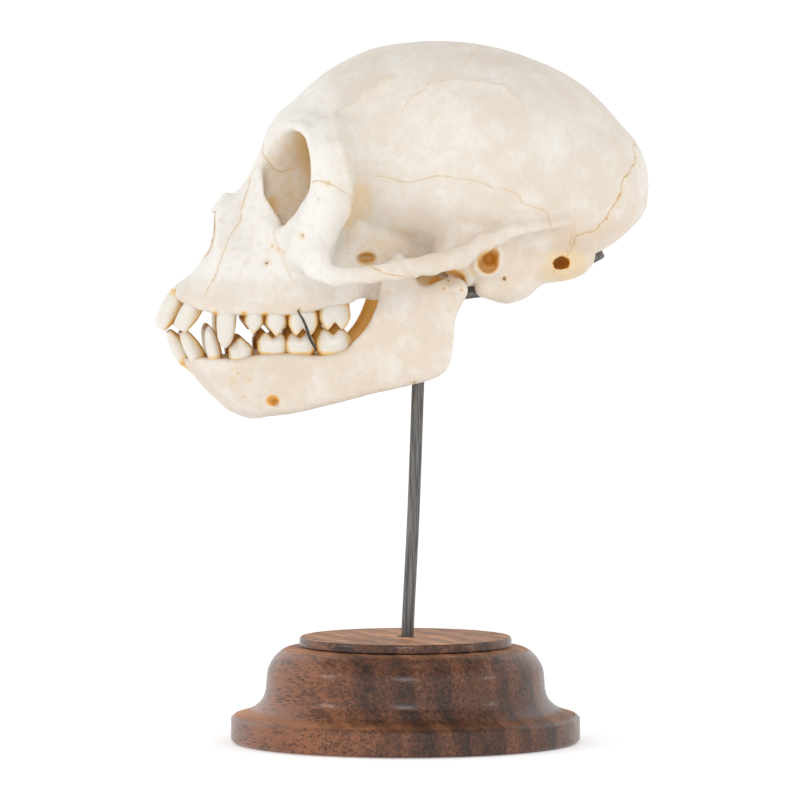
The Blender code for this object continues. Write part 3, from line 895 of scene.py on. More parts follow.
def join(items: Sequence[bpy.types.Object], name: str) -> bpy.types.Object:
    """Make one object of several meshes that share a finish.

    Args:
        items: the objects, of which the first stays.
        name: name of the whole.

    Returns:
        The whole object.
    """
    whole = bmesh.new()
    for item in items:
        whole.from_mesh(item.data)
    mesh = items[0].data
    whole.to_mesh(mesh)
    whole.free()
    for item in items[1:]:
        bpy.data.objects.remove(item, do_unlink=True)
    items[0].name = name
    return items[0]


# Bones

@dataclass(frozen=True)
class Suture:
    """A seam between two bones, drawn in the side view.

    Attributes:
        path: (Y, Z) points in millimetres.
        ink: how dark its thread is, 0 to 1.
        depth: how deep its groove is, in millimetres.
        wiggle: how far it wanders, in millimetres.
        reach: least and greatest distance from the midplane.
        facing: least sideways part of the surface's normal.
    """

    path: tuple[Point, ...]
    ink: float = 0.5
    depth: float = 0.1
    wiggle: float = 0.35
    reach: Point = (0.0, 40.0)
    facing: float = 0.1


@dataclass(frozen=True)
class Ridge:
    """A low muscle line, raised along (Y, Z) points of the side view."""

    path: tuple[Point, ...]
    height: float = 0.3
    breadth: float = 1.6
    reach: Point = (0.0, 40.0)


@dataclass(frozen=True)
class Pit:
    """A small hole in the bone's outer face, at (Y, Z) in the side view, its inside painted dark brown as
    painted shade.
    """

    place: Point
    radius: float
    depth: float = 0.3
    reach: Point = (0.0, 40.0)


@dataclass(frozen=True)
class StainAndShade:
    """An ellipsoid of painted warm shade and bounce light in amber, the same on both sides, in millimetres.
    """

    where: str
    centre: Place
    radii: Place
    strength: float


@dataclass
class Bone:
    """A bone modelled as a field, polygonised, thinned and weathered."""

    name: str = "bone"
    low: Place = (0.0, 0.0, 0.0)
    high: Place = (1.0, 1.0, 1.0)
    step: float = 0.5
    triangles: int = 100000
    sutures: tuple[Suture, ...] = ()
    ridges: tuple[Ridge, ...] = ()
    pits: tuple[Pit, ...] = ()
    stains_and_shade: tuple[StainAndShade, ...] = ()
    skin: float = 0.06
    shadow_mm: float = 2.6

    def shape(self, g: HalfGrid) -> np.ndarray:
        """Field of the left half, which each bone gives."""
        raise NotImplementedError

    def tones_and_shade(self, points: np.ndarray) -> np.ndarray:
        """The bone's tone at each point, 0 to 1: higher is pinker, which paints shade, and lower is
        chalkier, which paints light.
        """
        return np.full(len(points), 0.4)

    def polygonise(self, whole: np.ndarray, g: HalfGrid, finish: bpy.types.Material) -> bpy.types.Object:
        """Surface of the whole field as a mesh, without loose crumbs.

        Args:
            whole: the field with both halves.
            g: the grid of the left half.
            finish: the bone's material.

        Returns:
            The mesh object.
        """
        volume = openvdb.FloatGrid()
        volume.copyFromArray(whole.astype(np.float32))
        points, triangles, quads = volume.convertToPolygons(isovalue=0.0, adaptivity=0.0)
        corner = (-whole.shape[0] * g.step / 2, g.low[1], g.low[2])
        points = (points + 0.5) * g.step + corner
        label = np.arange(len(points))
        while True:
            least = label[quads].min(axis=1)
            before = label.copy()
            np.minimum.at(label, quads.ravel(), np.repeat(least, 4))
            label = label[label]
            if (label == before).all():
                break
        kept = label == np.bincount(label).argmax()
        renumber = np.cumsum(kept) - 1
        quads = renumber[quads[kept[quads].all(axis=1)]]
        return add_mesh(self.name, points[kept], quads, finish)

    def thin(self, item: bpy.types.Object) -> None:
        """Collapse flat areas until the mesh has the wanted number of triangles.

        Args:
            item: the mesh object, changed in place.
        """
        full = 2 * len(item.data.polygons)
        if full <= self.triangles:
            return
        modifier = item.modifiers.new("thin", "DECIMATE")
        modifier.ratio = self.triangles / full
        evaluated = item.evaluated_get(bpy.context.evaluated_depsgraph_get())
        mesh = bpy.data.meshes.new_from_object(evaluated)
        item.modifiers.clear()
        item.data = mesh
        mesh.shade_smooth()

    def build(self, finish: bpy.types.Material) -> bpy.types.Object:
        """Make the bone.

        Args:
            finish: its material.

        Returns:
            The finished piece, with its attributes for the material.
        """
        g = HalfGrid(self.low, self.high, self.step)
        half = self.shape(g) + self.skin
        whole = np.concatenate([half[::-1], half])
        item = self.polygonise(whole, g, finish)
        self.thin(item)
        self.weather(item, whole, g)
        return item

    def shade_cavities(self, points: np.ndarray, normals: np.ndarray, whole: np.ndarray,
                       g: HalfGrid) -> np.ndarray:
        """How far each point sits in a hollow, 0 on open faces to 1 deep inside.

        Args:
            points: the vertices.
            normals: their normals.
            whole: the field with both halves.
            g: the grid of the left half.

        Returns:
            One value for each vertex.
        """
        solid = (whole < 0).astype(np.float32)
        reach = max(2, round(self.shadow_mm / g.step))
        crowd = box_blur(box_blur(solid, reach), reach)
        corner = np.array((-whole.shape[0] * g.step / 2, g.low[1], g.low[2]))
        spot = (points + normals * self.shadow_mm * 0.9 - corner) / g.step - 0.5
        cell = np.clip(np.rint(spot).astype(int), 0, np.array(whole.shape) - 1)
        return ease(0.36, 0.74, crowd[cell[:, 0], cell[:, 1], cell[:, 2]])

    def stain_and_shade_hollows(self, left: np.ndarray, inward: np.ndarray, cavity: np.ndarray) -> np.ndarray:
        """Add each ellipsoid's painted warm shade to the hollows, on the faces that look towards its
        centre.

        Args:
            left: the points, mirrored to the left side.
            inward: their normals, mirrored with them.
            cavity: how deep in a hollow each point is.

        Returns:
            The greater of the hollow's and the ellipsoids' painted shade.
        """
        # Amber painted on the faces that look into each ellipsoid: painted warm shade.
        for stain_and_shade in self.stains_and_shade:
            away = np.array(stain_and_shade.centre) - left
            near = np.linalg.norm(away / stain_and_shade.radii, axis=1)
            facing = np.einsum("ij,ij->i", away, inward) / (np.linalg.norm(away, axis=1) + 1e-6)
            amount = (1 - ease(0.6, 1.15, near)) * ease(-0.2, 0.35, facing)
            cavity = np.maximum(cavity, stain_and_shade.strength * amount)
        return cavity

    def press_sutures(self, points: np.ndarray, left: np.ndarray, outward: np.ndarray, drift: np.ndarray,
                      offset: np.ndarray) -> tuple[np.ndarray, np.ndarray]:
        """Sink the sutures' grooves.

        Args:
            points: the vertices.
            left: the same, mirrored to the left side.
            outward: sideways part of their normals.
            drift: how far each place wanders, so that the lines aren't straight.
            offset: height added to each vertex, changed in place.

        Returns:
            Signed distance to the nearest suture, and that suture's ink there.
        """
        seam, ink = np.full(len(points), FAR_MM), np.zeros(len(points))
        for suture in self.sutures:
            chosen = self.outer(left, outward, suture.reach, suture.facing)
            wandered = left[chosen][:, 1:] + suture.wiggle * drift[chosen]
            signed = path_distance(wandered, smooth_path(suture.path, 5))
            gap = np.abs(signed)
            closer = gap < np.abs(seam[chosen])
            fade = 0.75 + 0.25 * space_noise(points[chosen], 3.0, 21)
            faded = suture.ink * fade * (1 - ease(0.9, 1.9, gap))
            ink[chosen] = np.where(closer, faded, ink[chosen])
            seam[chosen] = np.where(closer, signed, seam[chosen])
            offset[chosen] -= suture.depth * (1 - ease(0.1, 0.6, gap))
        return seam, ink

    def raise_ridges(self, left: np.ndarray, outward: np.ndarray, drift: np.ndarray,
                     offset: np.ndarray) -> None:
        """Raise the muscle lines: their height is added to the offset.

        Args:
            left: the vertices, mirrored to the left side.
            outward: sideways part of their normals.
            drift: how far each place wanders.
            offset: height added to each vertex, changed in place.
        """
        for ridge in self.ridges:
            chosen = self.outer(left, outward, ridge.reach)
            wandered = left[chosen][:, 1:] + 0.2 * drift[chosen]
            gap = np.abs(path_distance(wandered, smooth_path(ridge.path, 5)))
            offset[chosen] += ridge.height * (1 - ease(0, ridge.breadth, gap))

    def press_pits(self, left: np.ndarray, outward: np.ndarray, drift: np.ndarray,
                   offset: np.ndarray) -> np.ndarray:
        """Sink the pits, and give each point's distance to the nearest rim, negative inside one.

        Args:
            left: the vertices, mirrored to the left side.
            outward: sideways part of their normals.
            drift: how far each place wanders.
            offset: height added to each vertex, changed in place.

        Returns:
            The signed distances.
        """
        rim = np.full(len(left), FAR_MM)
        for pit in self.pits:
            chosen = self.outer(left, outward, pit.reach)
            wandered = left[chosen][:, 1:] - pit.place + 0.15 * drift[chosen]
            gap = np.linalg.norm(wandered, axis=1) - pit.radius
            offset[chosen] -= pit.depth * (1 - ease(-0.5, 0.3, gap))
            rim[chosen] = np.minimum(rim[chosen], gap)
        return rim

    def weather(self, item: bpy.types.Object, whole: np.ndarray, g: HalfGrid) -> None:
        """Press the sutures and pits into the surface, and store what the material reads.

        Args:
            item: the bone's object.
            whole: the field with both halves.
            g: the grid of the left half.
        """
        mesh = item.data
        points, normals = mesh_points(mesh), mesh_normals(mesh)
        left = np.hstack([np.abs(points)[:, :1], points[:, 1:]])
        outward = normals[:, 0] * np.sign(points[:, 0])
        inward = normals * np.sign(points * (1, 0, 0) + (1e-9, 1, 1))
        cavity = self.stain_and_shade_hollows(left, inward, self.shade_cavities(points, normals, whole, g))
        offset = 0.13 * space_noise(points, 7.0, 3) + 0.07 * space_noise(points, 2.6, 4)
        offset += 0.035 * space_noise(points, 1.2, 5)
        drift = np.stack([space_noise(points, 1.8, 11), space_noise(points, 1.8, 12)], 1)
        drift += 0.5 * np.stack([space_noise(points, 0.8, 13), space_noise(points, 0.8, 14)], 1)
        seam, ink = self.press_sutures(points, left, outward, drift, offset)
        self.raise_ridges(left, outward, drift, offset)
        rim = self.press_pits(left, outward, drift, offset)
        set_points(mesh, points + normals * offset[:, None])
        for name, values in (("cavity", cavity), ("seam", seam), ("ink", ink), ("pit", rim),
                             ("tone_and_shade", self.tones_and_shade(points))):
            add_attribute(mesh, name, values)

    @staticmethod
    def outer(left: np.ndarray, outward: np.ndarray, reach: Point, facing: float = 0.1) -> np.ndarray:
        """Numbers of the vertices at the wanted distance from the midplane that face outwards enough."""
        width = left[:, 0]
        return np.flatnonzero((width >= reach[0]) & (width <= reach[1]) & (outward >= facing))


@dataclass
class Cranium(Bone):
    """Upper skull: hollow braincase, face, cheek arches and ear region, one bone."""

    name: str = "skull"
    low: Place = (0.0, -50.0, 84.0)
    high: Place = (33.3, 52.0, 143.0)
    step: float = 0.45
    triangles: int = 190000
    brain_centre: Point = (12.0, 113.0)
    brain_half_breadth: float = 26.5
    brain_wall: float = 2.4
    orbit_radius: float = 10.3
    arch_half_breadth: float = 30.0
    vault_outline: tuple[Point, ...] = (
        (-28.0, 120.0), (-25.2, 125.6), (-22.2, 128.2), (-18.9, 131.5), (-8.7, 137.6), (6.5, 139.8),
        (25.1, 136.4), (33.2, 132.5), (39.0, 127.8), (43.0, 123.4), (46.9, 118.4), (48.5, 110.6),
        (47.7, 105.8), (45.2, 102.6), (38.5, 97.6),
        (25.3, 94.0), (10.0, 95.0), (-3.0, 99.0), (-14.0, 104.0), (-23.0, 111.0))
    vault_breadth: tuple[Point, ...] = (
        (-28, 0.84), (-12, 0.83), (0, 0.87), (10, 0.95), (20, 1.0), (30, 1.0), (50, 0.93))
    snout_top: tuple[Point, ...] = (
        (-46.6, 90.2), (-45.6, 91.4), (-44.2, 92.4), (-42.7, 93.6), (-41.3, 94.9), (-40.2, 96.6),
        (-39.1, 98.4), (-38.5, 100.6), (-38.3, 103.0), (-38.1, 105.4), (-37.6, 106.8),
        (-35.1, 109.0), (-32.4, 111.3), (-31.0, 113.5), (-29.2, 117.4),
        (-27.5, 120.5), (-6.0, 121.0))
    snout_bottom: tuple[Point, ...] = (
        (-46.6, 89.2), (-44.5, 87.7), (-41.0, 86.5), (-36.0, 85.8), (-28.0, 85.7), (-21.0, 86.0),
        (-16.0, 87.4), (-11.5, 88.3), (-8.3, 90.4), (-6.0, 92.2))
    snout_breadth: tuple[Point, ...] = (
        (-46.9, 3.0), (-46.0, 6.2), (-44.0, 9.2), (-41.0, 11.6), (-36.0, 13.8), (-30.0, 14.6),
        (-22.0, 16.0), (-15.0, 16.3), (-10.0, 15.2), (-6.0, 12.2))

    def vault(self, g: HalfGrid) -> np.ndarray:
        """Braincase: the midplane outline, swelled sideways.

        Args:
            g: the grid to sample on.

        Returns:
            The field on the grid.
        """
        dy, dz = g.y - self.brain_centre[0], g.z - self.brain_centre[1]
        reach = outline_radius(np.arctan2(dz, dy), self.brain_centre, self.vault_outline)
        breadth = self.brain_half_breadth * along(g.y, self.vault_breadth)
        share = (np.hypot(dy, dz) / reach) ** 2.3 + (g.x / breadth) ** 2.3
        return ((share ** (1 / 2.3) - 1) * 27).astype(np.float32)

    def orbit(self, g: HalfGrid, grow: float = 0.0) -> np.ndarray:
        """Eye socket: a cone that narrows backwards and inwards, closed in front by the nose's root.

        Args:
            g: the grid to sample on.
            grow: how much larger than the socket the cone is.

        Returns:
            The field on the grid.
        """
        mouth, middle, end = self.orbit_radius + grow, self.orbit_radius - 0.8 + grow, 3.4 + grow
        cone = g.limb([(14.2, -27.5, 112.6, mouth), (12.0, -19.0, 112.0, middle), (6.5, -5.5, 109.5, end)])
        root = -28.4 - g.y + 0.6 * np.clip(109.5 - g.z, 0, 10) - 0.5 * np.clip(g.x - 11, 0, 20)
        return cut(cone, -root, 1.5)

    def snout(self, g: HalfGrid) -> np.ndarray:
        """Upper jaw and nose: cross sections that narrow towards the bridge.

        Args:
            g: the grid to sample on.

        Returns:
            The field on the grid.
        """
        top, bottom = along(g.y, self.snout_top), along(g.y, self.snout_bottom)
        height = np.clip((g.z - bottom) / np.maximum(top - bottom, 1), 0, 1.2)
        high_nose = np.clip((top - 98) / 12, 0, 1)
        narrow = 1 - (0.45 + 0.27 * high_nose) * height ** (2.2 - 0.9 * high_nose)
        body = cut(g.x - along(g.y, self.snout_breadth) * narrow, top - g.z, 1.5)
        body = cut(body, g.z - bottom, 1.6)
        body = cut(body, g.y + 46.9, 0.8)
        return cut(body, -6.0 - g.y, 1.5)

    def face(self, g: HalfGrid, bone: np.ndarray) -> np.ndarray:
        """Add the socket's walls, the snout, the rim, and the cheek.

        Args:
            g: the grid to sample on.
            bone: field of the braincase and the skull base.

        Returns:
            Field of both, joined.
        """
        walls = np.maximum(self.orbit(g, 1.5), -18.6 + 0.42 * (g.x - 24) - g.y)
        bone = union(bone, walls, 1.0)
        bone = union(bone, self.snout(g), 2.5)
        bone = union(bone, g.limb([(10.9, -36.4, 87.6, 2.3), (9.3, -32.5, 97.0, 1.7)]), 1.5)
        rim = g.limb([(0.0, -24.0, 121.0, 2.8), (6.0, -21.8, 122.6, 2.2), (12.5, -19.4, 123.4, 1.9),
                      (18.5, -16.6, 121.4, 1.9), (22.4, -15.8, 118.0, 2.1), (24.0, -15.4, 113.0, 2.2),
                      (23.4, -16.6, 107.5, 2.4), (20.6, -19.8, 102.4, 2.6), (15.5, -23.0, 100.2, 2.6),
                      (9.5, -25.6, 101.6, 2.4), (5.2, -27.2, 106.5, 1.9)])
        bone = union(bone, rim, 1.8)
        post = g.limb([(18.6, -13.4, 120.0, 2.2), (22.6, -15.4, 114.0, 2.6), (22.8, -17.4, 106.0, 2.9),
                       (21.8, -19.4, 99.0, 3.4)], squash=(0.55, 1, 1))
        bone = union(bone, post, 4.5)
        crest = g.limb([(20.6, -16.0, 118.0, 1.4), (17.8, -15.0, 122.0, 1.1), (14.6, -12.6, 125.8, 0.7),
                        (12.6, -8.0, 129.8, 0.3)])
        bone = union(bone, crest, 5.0)
        return union(bone, self.cheek_arch(g), 2.0)

    def orbit_rim(self, g: HalfGrid) -> np.ndarray:
        """Crisp edge of the eye socket, pointed where the cheek meets the nose.

        Args:
            g: the grid to sample on.

        Returns:
            The field on the grid.
        """
        return g.limb([(9.0, -23.4, 123.0, 0.6), (14.0, -22.0, 123.2, 0.9), (18.2, -19.6, 121.8, 1.2),
                       (21.2, -18.4, 117.6, 1.4), (22.0, -18.2, 112.0, 1.5), (20.2, -20.4, 107.0, 1.6),
                       (16.5, -22.7, 103.5, 1.7), (12.3, -25.4, 101.0, 1.6), (9.4, -28.0, 103.4, 1.2)])

    def cheek_arch(self, g: HalfGrid) -> np.ndarray:
        """Cheek bone body and the arch that runs back to the ear.

        Args:
            g: the grid to sample on.

        Returns:
            The field on the grid.
        """
        out = self.arch_half_breadth
        body = g.limb([(12.5, -21.5, 97.5, 4.0), (18.5, -20.6, 98.2, 3.7), (23.3, -19.2, 97.6, 2.9)])
        arch = g.limb([(24.5, -19.0, 95.2, 2.3), (27.0, -15.5, 93.7, 1.85), (29.0, -9.0, 94.3, 1.75),
                       (out, -3.5, 95.3, 2.05), (out, 3.0, 96.3, 2.0), (28.2, 8.6, 97.5, 2.0),
                       (25.6, 13.5, 100.0, 1.9)], squash=(0.7, 1, 1))
        crest = g.limb([(25.6, 13.5, 100.2, 1.7), (25.4, 20.0, 103.0, 1.3), (23.2, 30.0, 104.2, 1.0)])
        return union(union(body, arch, 2.0), crest, 1.5)

    def ear_region(self, g: HalfGrid) -> np.ndarray:
        """Temporal bone below the braincase: ear tube, joint roof and mastoid.

        Args:
            g: the grid to sample on.

        Returns:
            The field on the grid.
        """
        bone = g.ellipsoid((17.5, 12.5, 98.5), (7.5, 8.5, 6.0))
        bone = union(bone, g.limb([(16, 14.8, 96.2, 3.6), (21.8, 14.6, 96.4, 3.3)]), 1.2)
        bone = union(bone, g.ellipsoid((17.0, 18.9, 93.6), (5.2, 6.6, 5.4)), 1.5)
        bone = union(bone, g.limb([(19.4, 14.4, 91.4, 2.2), (18.0, 18.6, 90.6, 2.4)]), 1.0)
        bone = union(bone, g.ellipsoid((15.0, 27.0, 97.4), (8.0, 9.5, 5.4)), 2.5)
        bone = union(bone, g.limb([(20.6, 10.8, 96.5, 1.9), (20.6, 10.9, 92.8, 1.2)]), 0.8)
        return union(bone, g.limb([(23.5, 7.0, 97.6, 2.2), (17.5, 7.5, 98.0, 2.6)]), 1.5)

    def skull_base(self, g: HalfGrid) -> np.ndarray:
        """Sphenoid, occipital condyles and the plates behind the palate.

        Args:
            g: the grid to sample on.

        Returns:
            The field on the grid.
        """
        bone = g.limb([(0, -12, 100.5, 5.5), (0, 4, 97.8, 4.0), (0, 23, 97.0, 2.2)])
        bone = union(bone, g.ellipsoid((8.0, 19.4, 91.4), (3.3, 4.2, 3.7)), 1.5)
        plate = g.limb([(10.2, -7.0, 90.4, 1.9), (10.2, -4.0, 94.5, 3.0), (9.0, 2.0, 97.0, 3.0)],
                       squash=(0.6, 1, 1))
        wing = g.limb([(10.5, -9.5, 101.0, 3.2), (10.5, -2.0, 100.5, 3.4), (10.0, 5.0, 99.5, 3.0)],
                      squash=(0.7, 1, 1))
        return union(union(bone, plate, 1.5), wing, 2.0)

    def shape(self, g: HalfGrid) -> np.ndarray:
        """Field of the left half of the cranium.

        Args:
            g: the grid to sample on.

        Returns:
            The field on the grid.
        """
        vault, ear = self.vault(g), self.ear_region(g)
        bone = union(union(vault, ear, 2.5), self.skull_base(g), 2.0)
        bone = self.face(g, bone)
        brain = np.maximum(vault + self.brain_wall, -self.orbit(g, 2.9))
        brain = np.maximum(brain, -ear - 2.0)
        brain = np.maximum(brain, 97.5 - 0.12 * (g.y - 10) - g.z)
        bone = cut(bone, brain, 0.6)
        foramen_magnum = g.limb([(0, 33.4, 84, 6.0), (0, 32.4, 99.0, 6.0)], squash=(1, 1.25, 1))
        bone = cut(bone, foramen_magnum, 0.6)
        temple_hole = g.ellipsoid((14.2, -8.4, 97.0), (4.0, 2.2, 1.1))
        bone = cut(bone, temple_hole, 0.5)
        bone = cut(bone, self.orbit(g), 0.6 + 2.4 * ease(13, 7, g.x) * ease(110, 117, g.z))
        bone = union(bone, self.orbit_rim(g), 1.2)
        nose = g.limb([(0, -44.0, 99.6, 3.0), (0, -38.0, 101.0, 4.1), (0, -33, 101.5, 4.9),
                       (0, -14, 97.5, 5.0), (0, 2, 90.5, 4.6)], squash=(1, 1, 1.15))
        bone = cut(bone, nose, 0.6)
        palate = g.limb([(0, -39.5, 84.5, 4.2), (0, -32, 84.4, 6.6), (0, -8, 85.8, 7.8), (0, 0, 85.8, 7.8)])
        bone = cut(bone, palate, 1.2)
        ear_lip = g.limb([(24.4, 12.2, 95.4, 0.7), (24.6, 12.6, 98.2, 0.7), (24.6, 15.4, 99.2, 0.7)])
        bone = union(bone, ear_lip, 1.0)
        bone = cut(bone, g.limb([(28, 14.4, 96.4, 2.8), (22.4, 14.7, 96.2, 1.7)]), 0.4)
        bone = cut(bone, g.limb([(28, 16.6, 99.4, 1.0), (21, 15.0, 97.0, 1.2)]), 0.5)
        tear_hollow = g.ellipsoid((6.6, -26.2, 108.4), (2.2, 1.3, 2.6))
        bone = cut(bone, tear_hollow, 0.4)
        nasal_tip = g.limb([(1.2, -35.6, 108.6, 1.2), (0.9, -38.6, 105.9, 0.5)])
        bone = union(bone, nasal_tip, 0.6)
        rear_hole = g.ellipsoid((20.5, 29.1, 96.3), (3.3, 1.7, 1.2))
        return cut(bone, rear_hole, 0.4)

    def tones_and_shade(self, points: np.ndarray) -> np.ndarray:
        """Warmer on the temple; warmer still under the skull, at the nape and low on the muzzle, which is
        painted shade; whiter on the brow and face, which is painted light where the lamps fall.

        Args:
            points: the vertices.

        Returns:
            One value for each vertex, 0 to 1.
        """
        face = ease(-8, -22, points[:, 1])
        low = ease(116, 98, points[:, 2]) * ease(-12, 0, points[:, 1])
        rear = ease(26, 34, points[:, 1]) * ease(104, 98, points[:, 2])
        muzzle = 0.65 * face * ease(95, 88, points[:, 2])
        return np.clip(0.42 * (1 - face) + 0.35 * low + rear + muzzle, 0, 1)


@dataclass
class Mandible(Bone):
    """Lower jaw: its side outline, folded round the arch of the teeth."""

    name: str = "jaw"
    low: Place = (0.0, -50.0, 61.0)
    high: Place = (30.6, 14.0, 102.0)
    step: float = 0.4
    triangles: int = 90000
    front: tuple[Point, ...] = (
        (64.0, -31.0), (65.3, -33.5), (66.0, -35.2), (68.3, -38.2), (70.8, -40.6), (73.2, -42.6),
        (75.5, -44.6), (77.0, -45.5), (100.0, -46.0))
    outline: tuple[Point, ...] = (
        (-45.6, 77.0), (-44.6, 75.5), (-40.6, 70.8), (-35.2, 66.0), (-31.0, 64.8), (-27.5, 65.4),
        (-22.0, 66.4), (-12.1, 68.9), (-1.0, 71.7), (5.0, 73.5), (7.5, 76.1), (8.1, 80.0),
        (8.7, 85.6), (10.9, 90.4), (10.1, 92.9), (8.0, 93.6), (5.3, 93.0), (2.6, 92.0),
        (0.6, 93.4), (-1.4, 97.6), (-3.2, 98.4), (-5.0, 96.3), (-6.3, 92.2), (-6.9, 88.2),
        (-8.7, 83.8), (-11.2, 80.8), (-13.0, 78.9), (-18.0, 77.9), (-24.0, 78.3), (-30.0, 78.1),
        (-34.0, 77.2), (-37.0, 77.2), (-41.0, 77.2), (-43.6, 76.9))
    half_width: tuple[Point, ...] = (
        (0.0, 0.4), (0.8, 3.4), (2.0, 5.8), (5.0, 8.8), (9.0, 11.2), (14.0, 12.9), (20.0, 14.0),
        (28.0, 15.2), (36.0, 17.4), (44.0, 20.0), (52.0, 21.6), (62.0, 23.0))
    inner_width: tuple[Point, ...] = (
        (8.5, -2.0), (9.5, 2.0), (12.0, 5.2), (16.0, 7.0), (22.0, 8.0), (28.0, 9.0), (34.0, 11.4),
        (40.0, 15.6), (45.0, 17.8), (52.0, 19.2), (62.0, 20.6))

    def shape(self, g: HalfGrid) -> np.ndarray:
        """Field of the left half of the lower jaw.

        Args:
            g: the grid to sample on.

        Returns:
            The field on the grid.
        """
        depth = g.y - along(g.z, self.front)
        lean = 0.05 * np.clip(g.z - 74, 0, 30) * np.clip((depth - 30) / 12, 0, 1)
        outer = (g.x - along(depth, self.half_width) - lean).astype(np.float32)
        inner = (along(depth, self.inner_width) + lean - g.x).astype(np.float32)
        slab = cut(cut(outer, -inner, 1.5), -g.outline(self.outline), 1.6)
        condyle = g.ellipsoid((21.2, 7.9, 91.2), (3.3, 2.2, 1.5))
        slab = union(slab, condyle, 1.2)
        mental_foramen = g.limb([(15.5, -28.0, 69.2, 0.8), (11.5, -26.6, 68.4, 0.6)])
        return cut(slab, mental_foramen, 0.4)

    def tones_and_shade(self, points: np.ndarray) -> np.ndarray:
        """The same pinkish tone all over."""
        return np.full(len(points), 0.75)


# Teeth

class Crown(Enum):
    """Kinds of tooth, each with its crown's outline: (height, length share, breadth share)."""

    INCISOR = ((0.0, 0.78, 0.94), (0.3, 0.96, 1.0), (0.7, 1.02, 0.78), (0.93, 0.98, 0.46), (1.0, 0.9, 0.3))
    CANINE = ((0.0, 0.92, 0.9), (0.3, 1.0, 1.0), (0.62, 0.9, 0.86), (0.88, 0.6, 0.6), (1.0, 0.2, 0.2))
    PREMOLAR = ((0.0, 0.98, 0.9), (0.35, 1.07, 1.0), (0.7, 1.03, 0.9), (0.92, 0.66, 0.66))
    MOLAR = ((0.0, 0.98, 0.9), (0.35, 1.06, 1.0), (0.72, 1.04, 0.9), (0.9, 0.9, 0.72))


